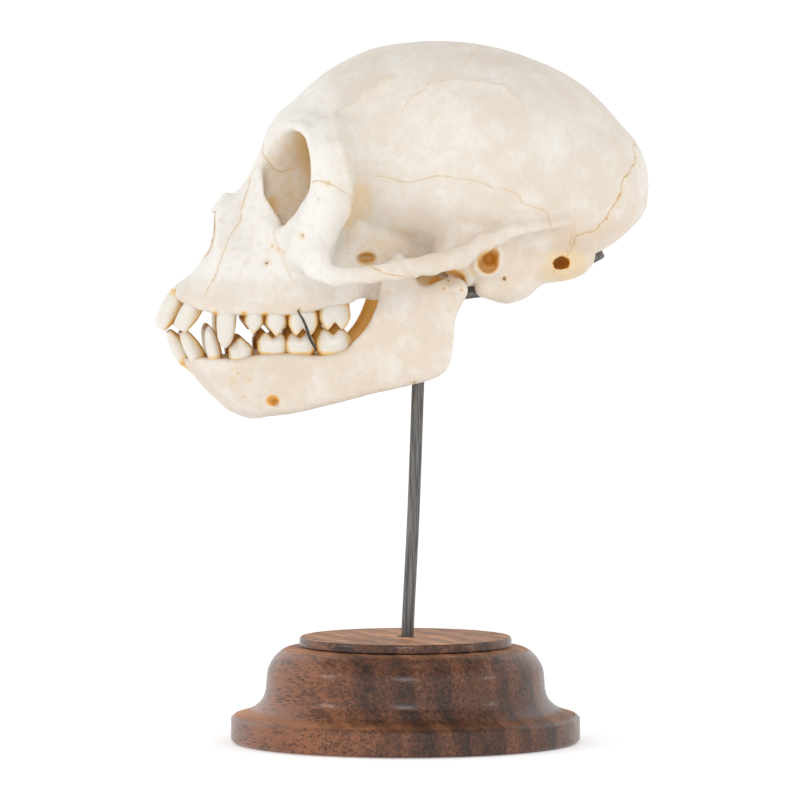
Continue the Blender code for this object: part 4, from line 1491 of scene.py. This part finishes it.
@dataclass(frozen=True)
class Tooth:
    """One tooth of the left side; the right side's is its mirror image."""

    name: str
    crown: Crown
    root: Place
    neck: Place
    tip: Place
    length: float
    breadth: float
    turn: float
    arch_front: float = -30.0
    sides: int = 40
    root_rings: int = 5
    crown_rings: int = 26

    def node(self, side: int) -> str:
        """Name of the model's node on the left (1) or the right (-1)."""
        return self.name if side > 0 else self.name.replace("left", "right")

    def frame(self) -> tuple[np.ndarray, np.ndarray, np.ndarray]:
        """Directions up the crown, along the row and across it.

        Returns:
            Three unit directions.
        """
        up = Vector(self.tip) - Vector(self.neck)
        up.normalize()
        row = Matrix.Rotation(math.radians(self.turn), 3, "Z") @ Vector((1, 0, 0))
        row = (row - up * row.dot(up)).normalized()
        return np.array(up), np.array(row), np.array(up.cross(row))

    def relief(self, row: np.ndarray, across: np.ndarray) -> np.ndarray:
        """Height of the biting face, as a share of the crown's, by place on the crown.

        Args:
            row: place along the row, from -1 to 1.
            across: place across it.

        Returns:
            One height for each place.
        """
        if self.crown is Crown.MOLAR:
            corners = product((-0.5, 0.5), (-0.55, 0.55))
            cusps = sum(np.exp(-((row - a) ** 2 + (across - b) ** 2) / 0.11) for a, b in corners)
            return 0.76 + 0.27 * cusps - 0.07 * np.exp(-(row / 0.15) ** 2)
        if self.crown is Crown.PREMOLAR:
            cusps = sum(np.exp(-(row ** 2 + (across - b) ** 2) / 0.16) for b in (-0.5, 0.5))
            return 0.76 + 0.24 * cusps
        return np.full_like(row, 1.0)

    @property
    def pointed(self) -> bool:
        """Whether the crown ends in an edge or a point, with no biting face."""
        return self.crown.value[-1][0] == 1

    def rings(self) -> tuple[list[np.ndarray], list[np.ndarray]]:
        """Rings of points from the root's end up the crown and over the biting face.

        Returns:
            The rings, and the amount of staining and painted shade at each ring's points.
        """
        up, row, across = self.frame()
        root, neck, tip = (np.array(p) for p in (self.root, self.neck, self.tip))
        height = np.linalg.norm(tip - neck)
        knots = self.crown.value
        turn = np.arange(self.sides) * 2 * math.pi / self.sides
        square = 3.0 if self.crown is Crown.MOLAR else 2.3
        circle = (np.abs(np.cos(turn)) ** square + np.abs(np.sin(turn)) ** square) ** (-1 / square)
        cos, sin = np.cos(turn) * circle, np.sin(turn) * circle

        def section(centre: np.ndarray, long: float, deep: float) -> np.ndarray:
            """Ring round a centre, its half sizes given as shares of the tooth's."""
            return (centre + np.outer(cos, row) * self.length / 2 * long
                    + np.outer(sin, across) * self.breadth / 2 * deep)

        rings, stain_and_shade = [], []
        for k in range(self.root_rings):
            t = k / self.root_rings
            size = 0.5 + 0.5 * t
            rings.append(section(root + (neck - root) * t, knots[0][1] * size, knots[0][2] * size))
            stain_and_shade.append(np.full(self.sides, 0.5))
        top = knots[-1][0]
        for t in (top * k / (self.crown_rings - 1) for k in range(self.crown_rings)):
            long = float(along(np.array([t]), [(h, a) for h, a, _ in knots])[0])
            deep = float(along(np.array([t]), [(h, b) for h, _, b in knots])[0])
            cap = self.relief(cos * long, sin * deep)
            level = t / top * np.minimum(cap, 1.0 if self.pointed else 2.0)
            rings.append(section(neck + np.outer(level * height, up), long, deep))
            # The neck's tan and the worn biting face are the tooth's own; the amber on the row's sides,
            # where the teeth touch, is painted shade between them.
            contact_shade = np.abs(cos) ** 6 * (0.2 if self.pointed else 1.0)
            worn = 0.0 if self.pointed else 0.3 * ease(0.82, 1.0, np.array(t / top))
            stain_and_shade.append(0.75 * np.clip(1 - t / 0.18, 0, 1) + contact_shade + worn)
        for shrink in (0.8, 0.6, 0.4, 0.2):
            long, deep = knots[-1][1] * shrink, knots[-1][2] * shrink
            level = self.relief(cos * long, sin * deep)
            level = level + 0.01 * (1 - shrink) if self.pointed else level
            rings.append(section(neck + np.outer(level * height, up), long, deep))
            stain_and_shade.append(np.full(self.sides, 0.0 if self.pointed else 0.75))
        rings.append(root - (neck - root) * 0.06)
        rings.append(neck + up * height * float(self.relief(np.zeros(1), np.zeros(1))[0]))
        stain_and_shade.append(np.array([1.0, 0.0 if self.pointed else 0.6]))
        return rings, stain_and_shade

    def build(self, side: int, finish: bpy.types.Material) -> bpy.types.Object:
        """Make the tooth.

        Args:
            side: 1 for the left, -1 for the right.
            finish: its material.

        Returns:
            The tooth, with its attribute of staining and painted shade.
        """
        rings, stain_and_shade = self.rings()
        points = np.vstack(rings)
        faces = tube_faces(len(rings) - 2, self.sides)
        if side < 0:
            points = points * (-1, 1, 1)
            faces = [face[::-1] for face in faces]
        item = add_mesh(self.node(side) + "_crown", points, faces, finish)
        # Faces turned towards the tongue get painted amber shade, the shade seen in the gaps between the
        # teeth.
        tongue = Vector((-self.neck[0] * side, max(0.0, self.arch_front - self.neck[1]), 0.0)).normalized()
        inward = mesh_normals(item.data) @ np.array(tongue)
        add_attribute(item.data, "stain_and_shade", np.concatenate(stain_and_shade) + 0.85 * ease(0.0, 0.5, inward))
        return item


@dataclass
class Dentition:
    """The 28 teeth: two incisors, a canine, two premolars and two molars in each quarter."""

    teeth: tuple[Tooth, ...] = (
        Tooth("upper_left_incisor_1", Crown.INCISOR, (2.4, -39.8, 93.4), (2.9, -45.0, 89.4),
              (2.9, -49.1, 82.8), 4.8, 4.0, 20),
        Tooth("upper_left_incisor_2", Crown.INCISOR, (5.8, -37.6, 93.4), (7.2, -41.9, 88.2),
              (7.5, -45.5, 82.8), 4.0, 3.9, 42),
        Tooth("upper_left_canine", Crown.CANINE, (8.8, -32.8, 95.5), (10.9, -36.1, 87.6),
              (11.6, -36.6, 79.3), 3.9, 4.4, 80),
        Tooth("upper_left_premolar_1", Crown.PREMOLAR, (10.7, -30.0, 91.6), (11.6, -30.7, 86.6),
              (11.9, -31.0, 82.0), 3.5, 4.6, 86),
        Tooth("upper_left_premolar_2", Crown.PREMOLAR, (11.1, -26.0, 91.6), (12.0, -26.5, 86.6),
              (12.3, -26.5, 81.6), 4.0, 5.0, 88),
        Tooth("upper_left_molar_1", Crown.MOLAR, (11.7, -20.8, 91.8), (12.5, -21.2, 86.8),
              (12.8, -21.2, 81.8), 5.6, 5.5, 88),
        Tooth("upper_left_molar_2", Crown.MOLAR, (11.9, -14.6, 92.8), (12.7, -15.0, 88.1),
              (13.0, -14.9, 82.9), 5.9, 5.7, 88),
        Tooth("lower_left_incisor_1", Crown.INCISOR, (1.6, -38.0, 71.6), (1.8, -43.6, 76.4),
              (1.7, -47.3, 82.2), 2.9, 3.6, 6),
        Tooth("lower_left_incisor_2", Crown.INCISOR, (3.9, -36.2, 71.6), (4.9, -41.2, 76.4),
              (4.9, -44.6, 82.2), 2.8, 3.6, 30),
        Tooth("lower_left_canine", Crown.CANINE, (6.6, -34.8, 71.6), (7.7, -38.2, 76.8),
              (7.8, -39.7, 83.4), 2.8, 3.6, 66),
        Tooth("lower_left_premolar_1", Crown.PREMOLAR, (8.6, -32.4, 71.6), (9.3, -33.3, 76.6),
              (9.2, -33.3, 81.2), 4.6, 4.0, 80),
        Tooth("lower_left_premolar_2", Crown.MOLAR, (10.2, -26.8, 72.6), (10.5, -27.2, 77.8),
              (10.2, -27.0, 82.1), 5.7, 4.5, 86),
        Tooth("lower_left_molar_1", Crown.MOLAR, (11.4, -21.2, 72.8), (11.3, -21.6, 77.9),
              (10.9, -21.7, 82.1), 5.6, 4.9, 86),
        Tooth("lower_left_molar_2", Crown.MOLAR, (12.8, -14.6, 73.0), (12.3, -15.0, 77.9),
              (11.8, -15.2, 83.0), 6.5, 5.2, 86))

    def build(self, finish: bpy.types.Material) -> list[tuple[bpy.types.Object, str]]:
        """Make every tooth of both sides, each with its node's name."""
        return [(tooth.build(side, finish), tooth.node(side)) for tooth in self.teeth for side in (1, -1)]


# Stand and wires

@dataclass
class Stand:
    """Turned walnut base and the bent steel rod that stands in it."""

    base_profile: tuple[Point, ...] = (
        (34.4, 0.0), (34.9, 0.6), (34.9, 4.7), (34.2, 5.3), (31.0, 6.4), (28.8, 8.2), (28.0, 10.2),
        (27.8, 12.2), (27.4, 14.8), (25.9, 17.2), (23.9, 18.6), (20.6, 19.0), (21.2, 19.3),
        (21.2, 20.5), (20.9, 20.9))
    rod_radius: float = 1.25
    hole_radius: float = 1.75
    hole_bevel: float = 0.25
    hole_floor: float = 7.0
    rod_route: tuple[Point, ...] = (
        (0.1, 7.5), (0.4, 21.5), (1.6, 46.0), (2.5, 71.0), (3.0, 82.5), (4.2, 86.4), (7.6, 88.7),
        (12.5, 89.6), (18.5, 90.3), (24.5, 91.7), (29.5, 93.3), (34.0, 95.0), (39.4, 97.7))
    segments: int = 160

    def base(self, finish: bpy.types.Material) -> bpy.types.Object:
        """Turn the base.

        Args:
            finish: its wood.

        Returns:
            The base, with the rod's hole in its top.
        """
        outer, hole, top = self.base_profile, self.hole_radius, self.base_profile[-1][1]
        rows = [(0.0, 0.0), (30.0, 0.0), *outer[:3], *smooth_path(outer[3:12], 5), *outer[12:], (18.0, top),
                (hole + self.hole_bevel, top), (hole, top - self.hole_bevel),
                (hole, self.hole_floor), (0.0, self.hole_floor)]
        turn = np.arange(self.segments) * 2 * math.pi / self.segments
        vertices, faces, starts = [], [], []
        for radius, height in rows:
            starts.append(len(vertices))
            if radius == 0:
                vertices.append((0.0, 0.0, height))
            else:
                ring = zip(radius * np.cos(turn), radius * np.sin(turn))
                vertices.extend((x, y, height) for x, y in ring)
        for a, b, low, high in zip(starts, starts[1:], rows, rows[1:]):
            for k in range(self.segments):
                n = (k + 1) % self.segments
                if low[0] == 0:
                    faces.append((a, b + n, b + k))
                elif high[0] == 0:
                    faces.append((a + k, a + n, b))
                else:
                    faces.append((a + k, a + n, b + n, b + k))
        item = add_mesh("walnut_base", vertices, faces, finish)
        item.data.set_sharp_from_angle(angle=math.radians(38))
        return item

    def rod(self, finish: bpy.types.Material) -> bpy.types.Object:
        """Bend the rod: up from the base, then back under the skull into its base opening."""
        path = smooth_path([(0.0, y, z) for y, z in self.rod_route], 8)
        return tube("steel_rod", path, self.rod_radius, 28, finish, squash=0.8)


@dataclass
class JawWires:
    """Soft steel wire, doubled and twisted, that ties the jaws together on each side."""

    route: tuple[Place, ...] = (
        (15.2, -22.3, 86.8), (16.0, -22.1, 86.2), (16.6, -21.3, 84.8), (16.7, -20.6, 83.0),
        (16.5, -20.0, 81.2), (15.9, -18.9, 79.3))
    strand_radius: float = 0.15
    twist_pitch: float = 24.0

    def build(self, side: int, name: str, finish: bpy.types.Material) -> bpy.types.Object:
        """Twist one tie.

        Args:
            side: 1 for the left, -1 for the right.
            name: the piece's name.
            finish: its steel.

        Returns:
            Both strands as one mesh.
        """
        path = smooth_path(self.route, 12)
        run = np.concatenate([[0], np.cumsum(np.linalg.norm(np.diff(path, axis=0), axis=1))])
        forward = np.gradient(path, axis=0)
        forward /= np.linalg.norm(forward, axis=1, keepdims=True)
        out = np.cross(forward, np.cross((1.0, 0.0, 0.0), forward))
        out /= np.linalg.norm(out, axis=1, keepdims=True)
        other = np.cross(forward, out)
        angle = (run * 2 * math.pi / self.twist_pitch)[:, None]
        strands = []
        for half in (0.0, math.pi):
            lane = path + self.strand_radius * (np.cos(angle + half) * out + np.sin(angle + half) * other)
            strands.append(tube(name, lane * (side, 1, 1), self.strand_radius, 10, finish))
        return join(strands, name)


# Studio

@dataclass(frozen=True)
class Lamp:
    """A square soft light: its place and size in metres, and its power in watts."""

    name: str
    place: Place
    size: float
    power: float
    colour: str = "#FFFFFF"

    def build(self, aim: Place) -> None:
        """Hang the lamp so that it faces the aim.

        Args:
            aim: the place to face.
        """
        data = bpy.data.lights.new(self.name, "AREA")
        data.size, data.energy, data.color = self.size, self.power, linear(self.colour)[:3]
        lamp = bpy.data.objects.new(self.name, data)
        lamp.location = self.place
        lamp.rotation_euler = (Vector(aim) - Vector(self.place)).to_track_quat("-Z", "Y").to_euler()
        bpy.context.collection.objects.link(lamp)


@dataclass
class Studio:
    """Camera, soft lights and a white sweep, in metres."""

    azimuth: float = 86.0
    elevation: float = 3.0
    distance_m: float = 1.5
    aim_m: Place = (-0.003633, -0.000849, 0.068027)
    lens_mm: float = 337.5
    lamps_aim: Place = (0.0, 0.0, 0.08)
    lamps: tuple[Lamp, ...] = (
        Lamp("key", (0.3, -1.15, 0.65), 0.25, 1.2, "#FFFEFD"),
        Lamp("front", (1.25, -0.1, 0.8), 0.3, 2.0),
        Lamp("fill", (0.35, 1.15, 0.5), 0.16, 0.5),
        Lamp("top", (0.0, 0.0, 1.3), 0.9, 1.25))
    ambient: float = 0.4
    floor_radius: float = 1.6
    curve_radius: float = 0.8
    wall_height: float = 2.6
    floor_drop: float = 0.0002
    sweep_sides: int = 96

    def camera(self) -> None:
        """Place the camera at the photograph's viewing angle."""
        a, e = math.radians(self.azimuth), math.radians(self.elevation)
        back = Vector((math.sin(a) * math.cos(e), -math.cos(a) * math.cos(e), math.sin(e)))
        data = bpy.data.cameras.new("camera")
        data.sensor_width, data.lens = 36.0, self.lens_mm
        data.clip_start, data.clip_end = 0.05, 20.0
        camera = bpy.data.objects.new("camera", data)
        camera.location = Vector(self.aim_m) + back * self.distance_m
        camera.rotation_euler = (-back).to_track_quat("-Z", "Y").to_euler()
        bpy.context.collection.objects.link(camera)
        bpy.context.scene.camera = camera

    def sweep(self) -> None:
        """Lay a round floor whose rim curves up into a wall, just under the stand's foot."""
        flat, curve = self.floor_radius, self.curve_radius
        rows = [(0.001, 0.0), (0.3, 0.0), (0.8, 0.0), (flat, 0.0)]
        rows += [(flat + curve * math.sin(a), curve - curve * math.cos(a))
                 for a in np.linspace(0.1, math.pi / 2, 12)]
        rows.append((flat + curve, self.wall_height))
        turn = np.linspace(0, 2 * math.pi, self.sweep_sides + 1)[:-1]
        vertices = [(r * math.cos(t) / MM, r * math.sin(t) / MM, (z - self.floor_drop) / MM)
                    for r, z in rows for t in turn]
        faces = []
        for ring in range(len(rows) - 1):
            for k in range(self.sweep_sides):
                a, b = ring * self.sweep_sides + k, ring * self.sweep_sides + (k + 1) % self.sweep_sides
                faces.append((a, b, b + self.sweep_sides, a + self.sweep_sides))
        floor = add_mesh("floor", vertices, faces, MattPaper().build("matt_white_paper"))

    def build(self) -> None:
        """Set the camera, the lights and the sweep."""
        self.camera()
        self.sweep()
        world = bpy.data.worlds.new("studio")
        bpy.context.scene.world = world
        world.use_nodes = True
        sky = world.node_tree.nodes["Background"]
        sky.inputs["Color"].default_value = (1.0, 1.0, 1.0, 1.0)
        sky.inputs["Strength"].default_value = self.ambient
        for lamp in self.lamps:
            lamp.build(self.lamps_aim)
        bpy.context.scene.view_settings.view_transform = "Standard"


# Lines, holes and painted warm shade of the two bones, in millimetres

TEMPORAL_LINE = (
    (-12.7, 99.9), (-12.3, 104.9), (-12.6, 110.0), (-13.3, 113.3), (-14.3, 118.4), (-15.0, 121.8),
    (-14.8, 125.2), (-11.5, 127.5), (-8.1, 130.2), (-3.6, 132.3))
UPPER_TEMPORAL_LINE = (
    (-2.5, 125.5), (-0.5, 128.3), (2.6, 130.5), (6.0, 132.2), (11.1, 132.0), (16.2, 131.5),
    (18.6, 130.2), (21.2, 127.5))

CRANIUM_SUTURES = (
    # The first two are muscle lines, not sutures: their faint thread is painted shade along the ridges.
    Suture(TEMPORAL_LINE, ink=0.22, depth=0.0, wiggle=0.5),
    Suture(UPPER_TEMPORAL_LINE, ink=0.28, depth=0.0, wiggle=0.5),
    Suture(((46.4, 119.6), (45.0, 119.2), (44.9, 116.8), (43.3, 114.1), (42.0, 111.4), (40.9, 108.3),
            (38.9, 104.9), (36.2, 102.4)), ink=1.0, depth=0.16, wiggle=0.5, facing=-0.2),
    Suture(((36.2, 102.4), (32.8, 101.5), (32.0, 99.8), (30.4, 97.8), (27.9, 94.7)), ink=0.8, wiggle=0.25),
    Suture(((31.9, 103.7), (31.4, 101.1), (30.3, 98.7)), ink=0.5, wiggle=0.2),
    Suture(((-6.8, 113.2), (-5.4, 112.9), (-1.7, 112.2), (1.7, 112.7), (5.1, 113.5), (10.2, 112.7),
            (13.6, 111.8), (19.4, 110.3), (21.4, 108.3), (25.9, 106.4), (26.5, 104.8), (27.1, 103.4)),
           ink=0.45, wiggle=0.3, reach=(12.0, 40.0)),
    Suture(((14.6, 138.7), (12.0, 136.9), (11.0, 135.8)), ink=0.35, facing=-0.5),
    Suture(((-31.3, 113.0), (-31.7, 110.3), (-33.0, 106.6), (-33.4, 104.2), (-35.4, 101.4), (-37.1, 97.3),
            (-38.5, 93.6), (-40.4, 90.2)), ink=0.55, wiggle=0.15),
    Suture(((-28.5, 120.2), (-28.7, 117.8), (-27.7, 116.2), (-26.9, 115.0), (-25.7, 113.7), (-24.5, 113.8),
            (-23.1, 114.0)), ink=0.65, wiggle=0.15, reach=(0.0, 10.0), facing=-0.2),
    Suture(((-20.0, 112.3), (-18.8, 112.5), (-17.1, 112.1), (-15.7, 111.5), (-14.1, 110.3)),
           ink=0.8, wiggle=0.15, reach=(16.0, 30.0)),
    Suture(((-23.7, 104.8), (-25.9, 103.4), (-27.1, 102.0), (-26.8, 100.1), (-26.2, 98.3), (-25.1, 95.9),
            (-23.9, 93.2)), ink=0.3, wiggle=0.25, reach=(8.0, 30.0)),
    Suture(((-9.2, 96.1), (-7.4, 95.2), (-5.6, 94.4), (-4.0, 94.2), (-2.5, 93.9)), ink=0.7, wiggle=0.15,
           reach=(24.0, 34.0)),
    Suture(((-13.4, 118.5), (-13.1, 110.7), (-12.5, 105.8), (-12.1, 102.8), (-12.1, 98.9)), ink=0.35,
           depth=0.05, wiggle=0.2, reach=(10.0, 25.0)),
)

CRANIUM_RIDGES = (
    Ridge(TEMPORAL_LINE, height=0.6, breadth=1.5),
    Ridge(UPPER_TEMPORAL_LINE, height=0.35, breadth=1.3),
)

CRANIUM_PITS = (
    Pit((-28.4, 96.2), 0.55, 0.6, (8.0, 20.0)), Pit((-22.1, 101.7), 0.4, 0.5, (12.0, 30.0)),
    Pit((-27.4, 99.3), 0.22, 0.2), Pit((-26.4, 98.7), 0.2, 0.2), Pit((-25.4, 98.3), 0.22, 0.2),
    Pit((-17.1, 112.1), 0.3, 0.3, (18.0, 30.0)), Pit((17.8, 93.2), 0.5, 0.5, (12.0, 30.0)),
    Pit((-27.8, 92.8), 0.14, 0.1), Pit((-26.6, 91.4), 0.16, 0.1), Pit((-25.6, 89.5), 0.14, 0.1),
    Pit((-24.9, 87.8), 0.14, 0.1), Pit((-27.0, 89.6), 0.12, 0.1),
    Pit((-22.2, 86.9), 0.35, 0.4, (12.0, 20.0)), Pit((-22.9, 127.5), 0.3, 0.2, (6.0, 16.0)),
)

# Each ellipsoid paints warm shade and bounce light in amber on the faces that look towards its centre: the
# socket, the nose, the holes, the joint and, round the nape, the undersides.
CRANIUM_STAINS_AND_SHADE = (
    StainAndShade("eye socket", (10.0, -19.0, 112.0), (14.0, 15.0, 14.0), 0.28),
    StainAndShade("eye socket's roof", (11.0, -16.0, 114.5), (10.5, 10.5, 11.0), 0.78),
    StainAndShade("tear hollow", (8.0, -26.2, 108.5), (5.0, 2.4, 3.6), 0.55),
    StainAndShade("nasal passage", (0.0, -34.0, 101.0), (6.5, 14.0, 8.0), 0.6),
    StainAndShade("temple", (19.0, -5.0, 98.5), (8.5, 10.0, 6.5), 0.36),
    StainAndShade("temple behind the cheek", (21.0, -11.0, 105.0), (11.0, 5.0, 10.0), 0.34),
    StainAndShade("temple's hole", (16.5, -8.4, 97.0), (7.0, 3.0, 2.0), 0.7),
    StainAndShade("jaw joint's roof", (21.0, 7.0, 94.0), (7.0, 6.5, 3.0), 0.8),
    StainAndShade("ear opening", (23.5, 14.6, 96.8), (5.0, 3.6, 3.6), 0.62),
    StainAndShade("nape", (28.0, 31.0, 90.0), (15.0, 10.0, 15.0), 0.34),
    StainAndShade("hole behind the ear", (22.0, 29.1, 96.3), (4.5, 2.8, 2.2), 0.9),
    StainAndShade("beside the foramen magnum", (16.0, 31.0, 92.0), (7.0, 6.0, 4.0), 0.45),
    StainAndShade("behind the last molar", (15.5, -18.0, 90.2), (3.0, 1.2, 1.0), 0.4),
    *(StainAndShade("tooth socket", (14.0, y, 85.4), (4.0, 0.9, 1.6), 0.85)
      for y in (-38.6, -32.9, -28.8, -24.4, -18.5)),
)

JAW_PITS = (
    Pit((-35.1, 75.0), 0.18, 0.15), Pit((-34.1, 74.2), 0.2, 0.15), Pit((-35.1, 72.4), 0.18, 0.15),
    Pit((-31.9, 72.8), 0.2, 0.15), Pit((-32.8, 69.5), 0.18, 0.15), Pit((6.9, 92.8), 0.3, 0.2),
    Pit((5.8, 91.2), 0.28, 0.2), Pit((9.3, 91.0), 0.25, 0.2), Pit((0.4, 72.5), 0.3, 0.3),
)

# Painted warm shade on the jaw's inner faces, in its holes and round its sockets.
JAW_STAINS_AND_SHADE = (
    StainAndShade("inside of the ramus", (10.0, -7.0, 86.0), (13.0, 9.0, 14.0), 0.8),
    StainAndShade("inside of the condyle", (12.0, 5.0, 91.0), (9.5, 8.0, 5.0), 1.0),
    StainAndShade("mental foramen", (12.6, -27.2, 68.8), (3.4, 1.5, 1.3), 1.1),
    StainAndShade("angle of the jaw", (18.0, 0.4, 72.5), (3.0, 1.4, 1.0), 0.5),
    StainAndShade("inside of the chin", (0.0, -34.0, 78.0), (9.0, 12.0, 6.0), 0.5),
    *(StainAndShade("tooth socket", (11.0, y, 78.4), (5.0, 0.8, 1.4), 0.85)
      for y in (-36.4, -30.6, -24.5, -18.6)),
)


def dress(piece: bpy.types.Object, slot: str, *nodes: str) -> None:
    """Ride a piece on the fixed body, hide the model's nodes that it stands for, and log its faces.

    Args:
        piece: the piece.
        slot: not used.
        nodes: the model's nodes that it replaces.
    """
    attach(piece, "root")
    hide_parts(*nodes)
    LOG.info("%s: %d faces", piece.name, len(piece.data.polygons))


def main() -> None:
    """Build the studio and every piece of the skull and its stand."""
    logging.basicConfig(level=logging.INFO, format="%(message)s")
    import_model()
    Studio().build()
    bone = BleachedBone().build("bleached_bone")
    enamel = ToothEnamel().build("tooth_enamel")
    steel = DrawnSteel().build("drawn_steel")
    wire = DrawnSteel("#6A6764", "#3E3B39", 0.15, 0.4).build("annealed_wire")
    cranium = Cranium(sutures=CRANIUM_SUTURES, ridges=CRANIUM_RIDGES,
                      pits=CRANIUM_PITS, stains_and_shade=CRANIUM_STAINS_AND_SHADE)
    dress(cranium.build(bone), "bone", "cranium")
    mandible = Mandible(pits=JAW_PITS, stains_and_shade=JAW_STAINS_AND_SHADE)
    dress(mandible.build(bone), "bone", "mandible")
    for tooth, node in Dentition().build(enamel):
        dress(tooth, "enamel", node)
    stand = Stand()
    dress(stand.base(OiledWalnut().build("oiled_walnut")), "walnut", "stand_base")
    dress(stand.rod(steel), "steel", "stand_rod")
    for side, word in ((1, "left"), (-1, "right")):
        dress(JawWires().build(side, "tie_wire_" + word, wire), "steel", "jaw_wire_" + word)


if __name__ == "__main__":
    main()
